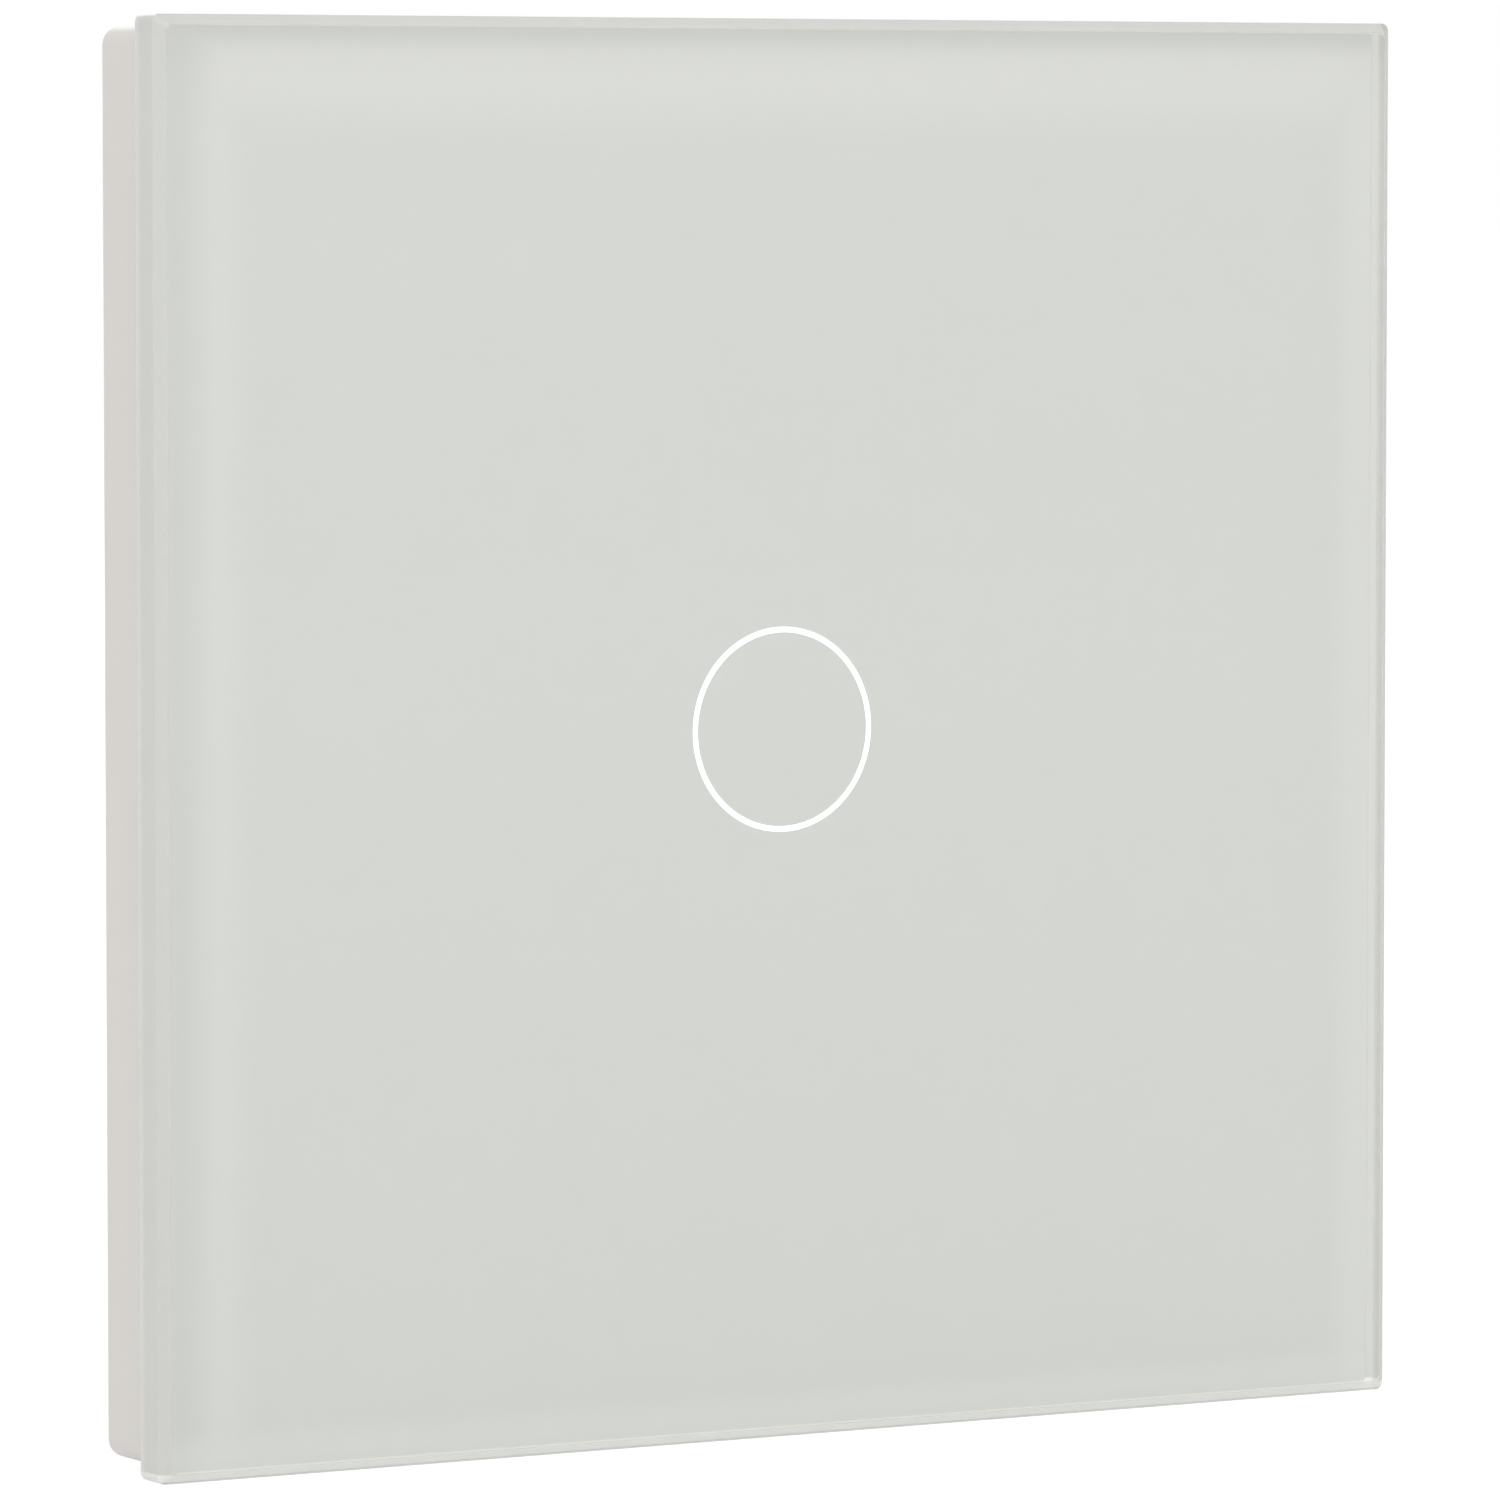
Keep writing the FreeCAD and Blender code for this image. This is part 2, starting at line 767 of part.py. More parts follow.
def terminal_guides(x):
    """Walls on both sides of a clamp that keep it from turning."""
    reach = clamp_width / 2 + guide_wall_clearance + guide_wall / 2
    start = power_board_rear_y + guide_wall_start_gap
    front = -box_inner_half - box_wall / 2
    rear = clamp_rear_z + guide_wall_clearance
    return [block(x + side * reach, (front + rear) / 2, guide_wall, rear - front, start,
                  box_rear_inner_y + box_rear_wall / 2) for side in (-1, 1)]


def make_power_box():
    outside = octagon(box_half, box_corner_cut, 0, box_depth)
    outside = outside.makeFillet(box_edge_round, edges_at_y(outside, box_depth))
    inside = octagon(box_inner_half, inset_cut(box_corner_cut, box_wall), 0, box_rear_inner_y)
    bosses = [rod(boss_diameter, x, z, 0, boss_length) for x, z in corners(case_screw_offset)]
    posts = [rod(post_diameter, side * post_offset, 0, power_board_rear_y, box_rear_inner_y)
             for side in (-1, 1)]
    added = bosses + posts + terminal_marks()
    removed = [case_screw_shape(x, z, screw_clearance) for x, z in corners(case_screw_offset)]
    removed += [rod(board_screw_diameter + 2 * screw_clearance, side * post_offset, 0,
                    power_board_y, power_board_y + board_screw_length + screw_clearance)
                for side in (-1, 1)]
    for x in terminal_xs.values():
        added += terminal_guides(x)
        added.append(box(x - wire_boss_side / 2, x + wire_boss_side / 2, wire_y - wire_boss_side / 2,
                         wire_y + wire_boss_side / 2, -box_inner_half - box_wall / 2,
                         -box_inner_half + wire_boss_depth))
        removed.append(Part.makeCylinder(wire_bore_diameter / 2, box_wall + wire_boss_depth,
                                         Vector(x, wire_y, -box_half), Vector(0, 0, 1)))
        removed.append(rod(terminal_head_diameter + 2 * terminal_hole_clearance, x, terminal_screw_z,
                           box_rear_inner_y - box_rear_wall, box_depth))
    for index in range(vent_count):
        x = (index - (vent_count - 1) / 2) * vent_pitch
        middle = (power_board_rear_y + box_rear_inner_y) / 2
        removed.append(box(x - vent_width / 2, x + vent_width / 2, middle - vent_length / 2,
                           middle + vent_length / 2, box_inner_half - box_wall, box_half))
    return joined([outside.cut(inside)] + added).cut(removed)


def lead_places():
    """Where the plain leads of the parts pass through the power board."""
    places = [(film_x, film_z + end * film_lead_pitch / 2) for end in (-1, 1)]
    for side in (-1, 1):
        places += [(side * can_x + end * can_lead_pitch / 2, can_z) for end in (-1, 1)]
    places += [(end * choke_core_diameter / 2, choke_z) for end in (-1, 1)]
    return places


def varistor_leads():
    return [(varistor_x, varistor_z + end * varistor_lead_pitch / 2) for end in (-1, 1)]


def fuse_leads():
    return [(fuse_x, fuse_z + end * fuse_lead_pitch / 2) for end in (-1, 1)]


def relay_pin_places():
    coil_x = yoke_x - yoke_thickness / 2
    side = relay_width / 2 - relay_shell - relay_pin_side
    return [(coil_x, relay_z - side), (coil_x, relay_z + side), (pivot_x, relay_z),
            (fixed_strip_x - fixed_strip_thickness / 2, relay_z),
            (fixed_strip_x - fixed_strip_thickness / 2, relay_z + side)]


def make_power_board():
    cut = inset_cut(box_corner_cut, box_wall + board_edge_clearance)
    board = octagon(power_board_half, cut, power_board_y, power_board_rear_y)
    removed = [rod(boss_diameter + 2 * boss_notch_clearance, x, z, power_board_y, power_board_rear_y)
               for x, z in corners(case_screw_offset)]
    small_hole = lead_diameter + 2 * lead_hole_clearance
    for x, z in lead_places() + varistor_leads() + fuse_leads():
        removed.append(rod(small_hole, x, z, power_board_y, power_board_rear_y))
    pin_hole = relay_pin_side * slant + 2 * lead_hole_clearance
    for x, z in relay_pin_places():
        removed.append(rod(pin_hole, x, z, power_board_y, power_board_rear_y))
    header_hole = pin_side * slant + 2 * lead_hole_clearance
    for x in pin_xs():
        removed.append(rod(header_hole, x, header_z, power_board_y, power_board_rear_y))
    for side in (-1, 1):
        removed.append(rod(board_screw_diameter + 2 * screw_clearance, side * post_offset, 0,
                           power_board_y, power_board_rear_y))
    for x in terminal_xs.values():
        removed.append(block(x, bar_leg_z + bar_thickness / 2, bar_leg_width + 2 * bar_slot_clearance,
                             bar_thickness + 2 * bar_slot_clearance, power_board_y, power_board_rear_y))
    return board.cut(removed)


def make_board_screws():
    screws = []
    for side in (-1, 1):
        x = side * post_offset
        head_y = power_board_y - board_screw_head_height
        head = rod(board_screw_head_diameter, x, 0, head_y, power_board_y)
        shank = rod(board_screw_diameter, x, 0, power_board_y, power_board_y + board_screw_length)
        recess = cross_slot(x, 0, head_y, board_screw_head_diameter * 0.6)
        screws.append(joined([head, shank]).cut(recess))
    return group(screws)


def make_component_leads():
    return group([rod(lead_diameter, x, z, lead_tip_y, power_board_rear_y) for x, z in lead_places()])


def make_relay_base():
    return block(0, relay_z, relay_length, relay_width, power_board_rear_y, relay_seat_y)


def make_relay_cover():
    outside = block(0, relay_z, relay_length, relay_width, relay_seat_y, relay_top_y)
    top_edges = edges_at_y(outside, relay_top_y)
    outside = outside.makeFillet(relay_shell / 2, top_edges)
    inside = block(0, relay_z, relay_length - 2 * relay_shell, relay_width - 2 * relay_shell,
                   relay_seat_y, relay_top_y - relay_shell)
    return outside.cut(inside)


def make_relay_pins():
    return group([block(x, z, relay_pin_side, relay_pin_side, lead_tip_y, power_board_rear_y)
                  for x, z in relay_pin_places()])


def make_relay_yoke():
    low_z, high_z = relay_z - yoke_width / 2, relay_z + yoke_width / 2
    upright = box(yoke_x, yoke_x + yoke_thickness, relay_seat_y, yoke_top_y, low_z, high_z)
    foot = box(yoke_x, yoke_foot_x, relay_seat_y, yoke_foot_y, low_z, high_z)
    hole = rod(core_diameter + 2 * core_clearance, core_x, relay_z, relay_seat_y, yoke_foot_y)
    return joined([upright, foot]).cut(hole)


def make_relay_core():
    stem = rod(core_diameter, core_x, relay_z, relay_seat_y, yoke_top_y)
    pole = rod(pole_diameter, core_x, relay_z, yoke_top_y - pole_thickness, yoke_top_y)
    return joined([stem, pole])


def bobbin_levels():
    """The outer and inner faces of the bobbin's two flanges."""
    low = yoke_foot_y + bobbin_foot_gap
    high = yoke_top_y - pole_thickness - bobbin_foot_gap
    return low, low + bobbin_flange, high - bobbin_flange, high


def make_relay_bobbin():
    low, low_inner, high_inner, high = bobbin_levels()
    bore = core_diameter + 2 * core_clearance
    flanges = [block(core_x, relay_z, bobbin_flange_side, bobbin_flange_side, low, low_inner),
               block(core_x, relay_z, bobbin_flange_side, bobbin_flange_side, high_inner, high)]
    stem = rod(bore + 2 * bobbin_tube_wall, core_x, relay_z, low, high)
    return joined(flanges + [stem]).cut(rod(bore, core_x, relay_z, low, high))


def make_relay_coil():
    low, low_inner, high_inner, high = bobbin_levels()
    inner = core_diameter + 2 * (bobbin_tube_wall + 2 * core_clearance)
    return ring(coil_diameter, inner, core_x, relay_z, low_inner, high_inner)


def make_relay_fixed_contact():
    low_z, high_z = relay_z - fixed_strip_width / 2, relay_z + fixed_strip_width / 2
    strip = box(fixed_strip_x - fixed_strip_thickness, fixed_strip_x, relay_seat_y, fixed_tab_y,
                low_z, high_z)
    tab = box(fixed_strip_x - fixed_tab_length, fixed_strip_x, fixed_tab_y - fixed_strip_thickness,
              fixed_tab_y, low_z, high_z)
    button = rod(contact_diameter, contact_x, relay_z, fixed_tab_y, fixed_contact_y)
    return joined([strip, tab, button])


def opened(shape):
    """A part of the armature, tilted from the closed place into the open place."""
    copy = shape.copy()
    copy.rotate(Vector(pivot_x, pivot_y, relay_z), Vector(0, 0, 1), armature_angle)
    return copy


def make_relay_armature():
    low_z, high_z = relay_z - armature_width / 2, relay_z + armature_width / 2
    plate = box(yoke_x - armature_rear_overhang, armature_front_x, armature_y, blade_y, low_z, high_z)
    return opened(plate)


def make_relay_blade():
    low_z, high_z = relay_z - blade_width / 2, relay_z + blade_width / 2
    strip = box(blade_start_x, blade_end_x, blade_y, blade_y + blade_thickness, low_z, high_z)
    button = rod(contact_diameter, contact_x, relay_z, contact_face_y, blade_y)
    return opened(joined([strip, button]))


def make_film_capacitor():
    body = block(film_x, film_z, film_width, film_length, power_board_rear_y,
                 power_board_rear_y + film_height)
    return body.makeFillet(film_round, [e for e in body.Edges
                                        if lies_along_y(e) or e in edges_at_y(body, body.BoundBox.YMax)])


def make_electrolytic_capacitors():
    cans = []
    for side in (-1, 1):
        top_y = power_board_rear_y + can_height
        can = rod(can_diameter, side * can_x, can_z, power_board_rear_y, top_y)
        can = can.makeFillet(can_groove, edges_at_y(can, top_y))
        groove = ring(can_diameter, can_diameter - 2 * can_groove, side * can_x, can_z,
                      power_board_rear_y + can_groove_height, power_board_rear_y + 2 * can_groove_height)
        cans.append(can.cut(groove))
    return group(cans)


def make_varistor():
    middle_y = power_board_rear_y + varistor_standoff + varistor_diameter / 2
    disc = Part.makeCylinder(varistor_diameter / 2, varistor_thickness,
                             Vector(varistor_x - varistor_thickness / 2, middle_y, varistor_z),
                             Vector(1, 0, 0))
    disc = disc.makeFillet(varistor_thickness / 4, [e for e in disc.Edges if e.Closed])
    leads = [rod(lead_diameter, x, z, lead_tip_y, middle_y) for x, z in varistor_leads()]
    return joined([disc] + leads)


def make_fuse():
    middle_y = power_board_rear_y + fuse_standoff + fuse_diameter / 2
    along = Vector(0, 0, 1)
    body = Part.makeCylinder(fuse_diameter / 2, fuse_length,
                             Vector(fuse_x, middle_y, fuse_z - fuse_length / 2), along)
    reach = fuse_lead_pitch + fuse_wire_diameter
    start = Vector(fuse_x, middle_y, fuse_z - reach / 2)
    wire = Part.makeCylinder(fuse_wire_diameter / 2, reach, start, along)
    legs = [rod(lead_diameter, x, z, lead_tip_y, middle_y) for x, z in fuse_leads()]
    return joined([body, wire] + legs)


def make_choke_core():
    top_y = power_board_rear_y + choke_height
    return joined([
        rod(choke_diameter, 0, choke_z, power_board_rear_y, power_board_rear_y + choke_flange),
        rod(choke_core_diameter, 0, choke_z, power_board_rear_y, top_y),
        rod(choke_diameter, 0, choke_z, top_y - choke_flange, top_y),
    ])


def make_choke_winding():
    low = power_board_rear_y + choke_flange
    high = power_board_rear_y + choke_height - choke_flange
    return ring(choke_winding_diameter, choke_core_diameter, 0, choke_z, low, high)


def make_bridge_rectifier():
    return block(rectifier_x, rectifier_z, rectifier_length, rectifier_width,
                 power_board_y - chip_height, power_board_y)


def make_regulator_chip():
    return block(regulator_x, regulator_z, regulator_length, regulator_width,
                 power_board_y - chip_height, power_board_y)


def make_bar(x):
    flat = box(x - bar_width / 2, x + bar_width / 2, bar_y, bar_rear_y,
               clamp_front_z, bar_leg_z + bar_thickness)
    leg = box(x - bar_leg_width / 2, x + bar_leg_width / 2, lead_tip_y, bar_rear_y,
              bar_leg_z, bar_leg_z + bar_thickness)
    return joined([flat, leg])


def make_terminal_screw(x):
    head = rod(terminal_head_diameter, x, terminal_screw_z, terminal_head_y, terminal_head_top_y)
    shank = rod(terminal_screw_diameter, x, terminal_screw_z, screw_tip_y, terminal_head_y)
    recess = cross_slot(x, terminal_screw_z, terminal_head_top_y, -terminal_head_diameter * 0.7)
    return joined([head, shank]).cut(recess)


def make_clamp(x):
    body = box(x - clamp_width / 2, x + clamp_width / 2, clamp_floor_y, clamp_nut_top_y,
               clamp_front_z, clamp_rear_z)
    inner = clamp_width / 2 - clamp_side
    space = box(x - inner, x + inner, clamp_floor_top_y, clamp_nut_y, clamp_front_z, clamp_rear_z)
    thread = rod(terminal_screw_diameter + 2 * terminal_running_clearance, x, terminal_screw_z,
                 clamp_nut_y, clamp_nut_top_y)
    return body.cut([space, thread])


def make_all():
    parts = {
        "glass_panel": make_glass_panel(),
        "printed_backing": make_printed_backing(),
        "ring_window": make_ring_window(),
        "bond_tape": make_bond_tape(),
        "cover_frame": make_cover_frame(),
        "mounting_plate": make_mounting_plate(),
        "case_screws": make_case_screws(),
        "module_frame": make_module_frame(),
        "touch_board": make_touch_board(),
        "light_guide": make_light_guide(),
        "ring_leds": make_ring_leds(),
        "touch_spring": make_touch_spring(),
        "touch_chip": make_touch_chip(),
        "touch_resistors": make_touch_resistors(),
        "header_socket": make_header_socket(),
        "header_strip": make_header_strip(),
        "header_pins": make_header_pins(),
        "power_box": make_power_box(),
        "power_board": make_power_board(),
        "board_screws": make_board_screws(),
        "component_leads": make_component_leads(),
        "relay_base": make_relay_base(),
        "relay_cover": make_relay_cover(),
        "relay_pins": make_relay_pins(),
        "relay_yoke": make_relay_yoke(),
        "relay_core": make_relay_core(),
        "relay_bobbin": make_relay_bobbin(),
        "relay_coil": make_relay_coil(),
        "relay_fixed_contact": make_relay_fixed_contact(),
        "relay_armature": make_relay_armature(),
        "relay_blade": make_relay_blade(),
        "film_capacitor": make_film_capacitor(),
        "electrolytic_capacitors": make_electrolytic_capacitors(),
        "varistor": make_varistor(),
        "fuse": make_fuse(),
        "choke_core": make_choke_core(),
        "choke_winding": make_choke_winding(),
        "bridge_rectifier": make_bridge_rectifier(),
        "regulator_chip": make_regulator_chip(),
    }
    for name, x in terminal_xs.items():
        parts[name + "_bar"] = make_bar(x)
        parts[name + "_screw"] = make_terminal_screw(x)
        parts[name + "_clamp"] = make_clamp(x)
    return parts


os.makedirs("parts", exist_ok=True)
for part_name, part_shape in make_all().items():
    part_shape.exportStep("parts/" + part_name + ".step")
    print(part_name, "solids", len(part_shape.Solids), "volume", round(part_shape.Volume, 2),
          "valid", part_shape.isValid())
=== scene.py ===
import json
import math

import bmesh
import bpy
from bpy.props import FloatProperty, FloatVectorProperty, PointerProperty
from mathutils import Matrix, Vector


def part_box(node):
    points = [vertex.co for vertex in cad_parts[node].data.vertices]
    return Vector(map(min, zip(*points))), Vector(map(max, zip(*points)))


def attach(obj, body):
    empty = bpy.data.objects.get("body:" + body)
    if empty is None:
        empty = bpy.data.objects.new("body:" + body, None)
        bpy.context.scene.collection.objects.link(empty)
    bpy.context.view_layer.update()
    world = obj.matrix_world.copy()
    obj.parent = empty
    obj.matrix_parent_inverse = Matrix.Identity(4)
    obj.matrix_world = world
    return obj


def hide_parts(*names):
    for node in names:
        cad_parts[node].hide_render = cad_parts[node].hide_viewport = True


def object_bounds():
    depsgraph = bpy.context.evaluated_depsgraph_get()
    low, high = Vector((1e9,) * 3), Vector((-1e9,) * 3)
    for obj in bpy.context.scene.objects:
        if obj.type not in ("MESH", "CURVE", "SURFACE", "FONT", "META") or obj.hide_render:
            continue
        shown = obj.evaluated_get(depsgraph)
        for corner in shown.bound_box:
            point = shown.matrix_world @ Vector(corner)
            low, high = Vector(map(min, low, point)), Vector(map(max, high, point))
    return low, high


# A one-gang touch light switch: a bevelled glass plate with a lit ring, its cover frame, the steel
# mounting plate and the power box behind it. X is to the right as the user faces the switch, Z is up
# and Y points into the wall, all in metres.

bl_info = {
    "name": "Touch light switch",
    "version": (1, 0, 0),
    "blender": (4, 5, 0),
    "location": "View3D > Sidebar > Light switch",
    "description": "Builds a glass touch switch round its packed frame",
    "category": "Object",
}

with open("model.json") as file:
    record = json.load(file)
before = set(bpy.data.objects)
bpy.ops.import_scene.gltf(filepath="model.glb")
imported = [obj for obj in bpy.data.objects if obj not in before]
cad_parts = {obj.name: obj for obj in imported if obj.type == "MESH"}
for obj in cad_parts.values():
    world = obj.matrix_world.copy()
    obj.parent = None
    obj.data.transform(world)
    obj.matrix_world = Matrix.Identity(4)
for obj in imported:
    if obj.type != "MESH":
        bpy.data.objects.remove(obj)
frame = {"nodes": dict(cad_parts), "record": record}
RECORD = frame["record"]
CAD_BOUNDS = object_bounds()
SLOT_OF_NODE = {part["node"]: part["material_slot"] for part in RECORD["subparts"]}
BODY_OF_NODE = {node: body for body, nodes in RECORD["behaviour"]["bodies"].items() for node in nodes}
MM = 0.001
IMAGE_SIDE = 1500
SENSOR_WIDTH = 36.0
WHITE = (1.0, 1.0, 1.0, 1.0)

# How much of the light at the ground edges is scattered there and does not pass into the glass, in
# front and at the arris behind
FROST = 0.7
REAR_FROST = 0.9
# Painted light and shade on the ground edge: how much paler it is painted behind, by the print, at its
# arris, and below, where it would catch the floor's light, and how much darker its bevel is painted on the
# left and on the right
REAR_EDGE_PAINTED_LIGHT = 1.25
ARRIS_PAINTED_LIGHT = 1.02
LOWER_EDGE_PAINTED_LIGHT = 1.31
LEFT_BEVEL_PAINTED_SHADE = 0.955
RIGHT_BEVEL_PAINTED_SHADE = 0.8
# How deep the painted light at the rear of the edge is, and the share of the bevel's width where its finish
# starts
REAR_PAINTED_LIGHT_DEPTH = 1.1 * MM
GROUND_SEAM = 0.85
# The print is fused to the glass, so its face lies this far inside it and no air shows between them
PRINT_SINK = 0.02 * MM
# Painted shade and light in the print's rims: how strong each is, and where it starts and ends to fade, in
# from the edge. The left and top rims are painted darker than the print as painted shade, and the low one
# paler as painted light, by these factors
LEFT_RIM_PAINTED_SHADE = (0.56, 1.9 * MM, 4.6 * MM)
TOP_RIM_PAINTED_SHADE = (0.66, 0.2 * MM, 1.7 * MM)
LOW_RIM_PAINTED_LIGHT = (0.6, 0.6 * MM, 2.6 * MM)
PAINTED_SHADE_FACTOR = 0.89
PAINTED_LIGHT_FACTOR = 1.12

# The touch board's copper, which lies half in the mask, and the cut across each corner of a track
TRACK_THICKNESS = 0.035 * MM
TRACK_CORNER = 0.8 * MM
# Rows of parts on the touch board, as the CAD has them, in millimetres from its middle: each starts
# at a place along X and goes on by a step
PIN_ROW = {"first": -5.08, "step": 2.54, "count": 5}
LEG_ROW = {"first": 11.1, "step": 1.27, "count": 4}
RESISTOR_ROW = {"first": 8.0, "step": -2.2, "count": 6}
PIN_LEVEL = 15.0
LEG_LEVELS = (-9.1, -14.9)
RESISTOR_LEVELS = (-16.6, -18.4)
LAMP_RADIUS = 5.675 * MM
LAMP_COUNT = 4
# The hatched copper field's left and right edges, and the columns of vias at both, in millimetres
HATCH_EDGES = (-22.3, -11.0)
VIA_COLUMNS = (-22.9, -11.0)
FIRST_VIA = -21.0
VIA_STEP = 3.0
VIA_COUNT = 15
# How far the letters on the power box stand above its rear face, and how far its cutters reach out
RAISED_MARKS = 0.3 * MM
CUTTER_HEIGHT = 1.0 * MM

# How far the floor lies under the object, and how far it reaches, in metres. To the camera it glows
# white in this share and at this strength
FLOOR_CLEARANCE = 0.05 * MM
FLOOR_REACH = 6.0
FLOOR_GLOW = 0.72
FLOOR_WHITE = 1.22
# The point that the camera looks at
CAMERA_AIM = Vector((1.94 * MM, 0.0, -1.63 * MM))
# The soft lamps: place, width, share of the lamp power, and whether they show in glossy surfaces
LAMPS = {
    "upper lamp": ((-0.3, -0.9, 0.75), 0.9, 1.0, True),
    "side lamp": ((-1.0, -0.1, 0.15), 0.8, 0.3, True),
    "low lamp": ((0.3, -1.0, 0.12), 0.9, 0.28, False),
    "rear lamp": ((0.5, 1.0, 0.7), 0.9, 0.7, True),
}


# Node trees

class Wire:
    """A socket of a node tree that can stand in a Python expression."""

    def __init__(self, net, socket):
        self.net = net
        self.socket = socket

    def output(self, name):
        """Another output of the node that this socket belongs to."""
        return Wire(self.net, self.socket.node.outputs[name])

    def math(self, operation, *values):
        return self.net.node("ShaderNodeMath", {"operation": operation}, *values)

    def __add__(self, value):
        return self.math("ADD", self, value)

    __radd__ = __add__

    def __sub__(self, value):
        return self.math("SUBTRACT", self, value)

    def __rsub__(self, value):
        return self.math("SUBTRACT", value, self)

    def __mul__(self, value):
        return self.math("MULTIPLY", self, value)

    __rmul__ = __mul__

    def __truediv__(self, value):
        return self.math("DIVIDE", self, value)

    def __rtruediv__(self, value):
        return self.math("DIVIDE", value, self)

    def __neg__(self):
        return self.math("MULTIPLY", self, -1.0)

    def __abs__(self):
        return self.math("ABSOLUTE", self)

    def most(self, value):
        """The larger of this and another value."""
        return self.math("MAXIMUM", self, value)

    def least(self, value):
        """The smaller of this and another value."""
        return self.math("MINIMUM", self, value)

    def wave(self, length):
        """A sine of this distance, from 0 to 1, with one crest in each length."""
        return 0.5 + 0.5 * self.math("SINE", self * (2 * math.pi / length))

    def fade(self, start, end):
        """A smooth step from 0 at start to 1 at end."""
        settings = {"interpolation_type": "SMOOTHSTEP"}
        return self.net.node("ShaderNodeMapRange", settings, self, start, end, 0.0, 1.0)


class Net:
    """A node tree whose nodes are all added by one method."""

    def __init__(self, tree):
        self.tree = tree

    def feed(self, socket, value):
        for item in value if isinstance(value, list) else [value]:
            if isinstance(item, Wire):
                self.tree.links.new(item.socket, socket)
            else:
                socket.default_value = item

    def node(self, kind, settings=None, *values, **named):
        """Adds a node, with its settings first and then its inputs, by order or by name."""
        node = self.tree.nodes.new(kind)
        for setting, value in (settings or {}).items():
            setattr(node, setting, value)
        inputs = [socket for socket in node.inputs if socket.enabled]
        for socket, value in zip(inputs, values):
            self.feed(socket, value)
        for name, value in named.items():
            self.feed(next(s for s in inputs if s.name == name.replace("_", " ")), value)
        return Wire(self, next(socket for socket in node.outputs if socket.enabled))

    def end(self, kind, socket, wire):
        """Joins a wire to a socket of the tree's output node."""
        self.tree.links.new(wire.socket, self.tree.nodes.new(kind).inputs[socket])

    def seen(self):
        """1 where the camera sees a surface, also in a reflection or through glass."""
        path = self.node("ShaderNodeLightPath")
        direct = path.output("Is Camera Ray")
        return direct.most(path.output("Is Glossy Ray")).most(path.output("Is Transmission Ray"))


# Meshes

def new_piece(name, mesh=None):
    piece = bpy.data.objects.new(name, mesh or bpy.data.meshes.new(name))
    bpy.context.scene.collection.objects.link(piece)
    return piece


def finish_piece(piece, body, material, nodes=()):
    """Gives a finished mesh its material, ties it to its body and hides the nodes it stands for."""
    piece.data.materials.clear()
    piece.data.materials.append(material)
    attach(piece, body)
    if nodes:
        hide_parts(*nodes)


def stand_in(piece, node):
    """Finishes a piece that takes a node's place, with the node's body, slot and material."""
    slot = SLOT_OF_NODE[node]
    finish_piece(piece, BODY_OF_NODE[node], finish_of(slot), [node])


def add_detail(name, pieces, finish):
    """Joins details of the touch board that stand for no node, in their own finish."""
    finish_piece(joined(name, pieces), "base", finish_of(finish))


def mesh_of(name, work):
    """The mesh of some finished bmesh work."""
    mesh = bpy.data.meshes.new(name)
    work.to_mesh(mesh)
    work.free()
    return mesh


def closed_mesh(name, work):
    """The mesh of some bmesh work, with its faces turned outwards."""
    bmesh.ops.recalc_face_normals(work, faces=work.faces)
    return mesh_of(name, work)


def smooth(mesh):
    """Smooths a mesh's faces, but for its sharp edges."""
    for polygon in mesh.polygons:
        polygon.use_smooth = True
    mesh.set_sharp_from_angle(angle=math.radians(30))


def apply_modifiers(piece):
    """Gives a piece its evaluated mesh and takes its modifiers off."""
    graph = bpy.context.evaluated_depsgraph_get()
    mesh = bpy.data.meshes.new_from_object(piece.evaluated_get(graph))
    piece.modifiers.clear()
    piece.data = mesh


def merged_mesh(node):
    """The mesh of a node with its loose triangles joined and its flat faces made whole."""
    source = frame["nodes"][node].data
    work = bmesh.new()
    points = [work.verts.new(vertex.co) for vertex in source.vertices]
    for polygon in source.polygons:
        work.faces.new([points[index] for index in polygon.vertices])
    bmesh.ops.remove_doubles(work, verts=work.verts, dist=0.001 * MM)
    bmesh.ops.dissolve_limit(work, angle_limit=math.radians(0.5), verts=work.verts, edges=work.edges)
    return mesh_of(node, work)


def softened(node, name, edge, segments=2):
    """A copy of a node whose sharp edges are rounded, as moulded, pressed and cut edges are."""
    piece = new_piece(name, merged_mesh(node))
    bevel = piece.modifiers.new("Edges", "BEVEL")
    bevel.width = edge
    bevel.segments = segments
    bevel.limit_method = "ANGLE"
    bevel.angle_limit = math.radians(40)
    bevel.use_clamp_overlap = False
    bevel.harden_normals = True
    apply_modifiers(piece)
    return piece


def turned(name, profile, sides=20):
    """A solid turned about a line along Y, from (radius, height) pairs; height is towards the user."""
    work = bmesh.new()
    rings = []
    for radius, height in profile:
        turns = [2 * math.pi * step / sides for step in range(sides if radius > 0 else 1)]
        ring = [(radius * math.cos(turn), -height, radius * math.sin(turn)) for turn in turns]
        rings.append([work.verts.new(Vector(point) * MM) for point in ring])
    for lower, upper in zip(rings, rings[1:] + rings[:1]):
        for step in range(sides):
            ahead = (step + 1) % sides
            corners = [lower[step % len(lower)], lower[ahead % len(lower)],
                       upper[ahead % len(upper)], upper[step % len(upper)]]
            corners = list(dict.fromkeys(corners))
            if len(corners) > 2:
                work.faces.new(corners)
    return closed_mesh(name, work)


def pressed(name, outline, width):
    """A strip of this width along X, whose section is a list of (height, z) points in millimetres."""
    work = bmesh.new()
    near, far = ([work.verts.new(Vector((x, -height, z)) * MM) for height, z in outline]
                 for x in (-width / 2, width / 2))
    work.faces.new(near)
    work.faces.new(far)
    for index in range(len(outline)):
        ahead = (index + 1) % len(outline)
        work.faces.new([near[index], near[ahead], far[ahead], far[index]])
    return closed_mesh(name, work)


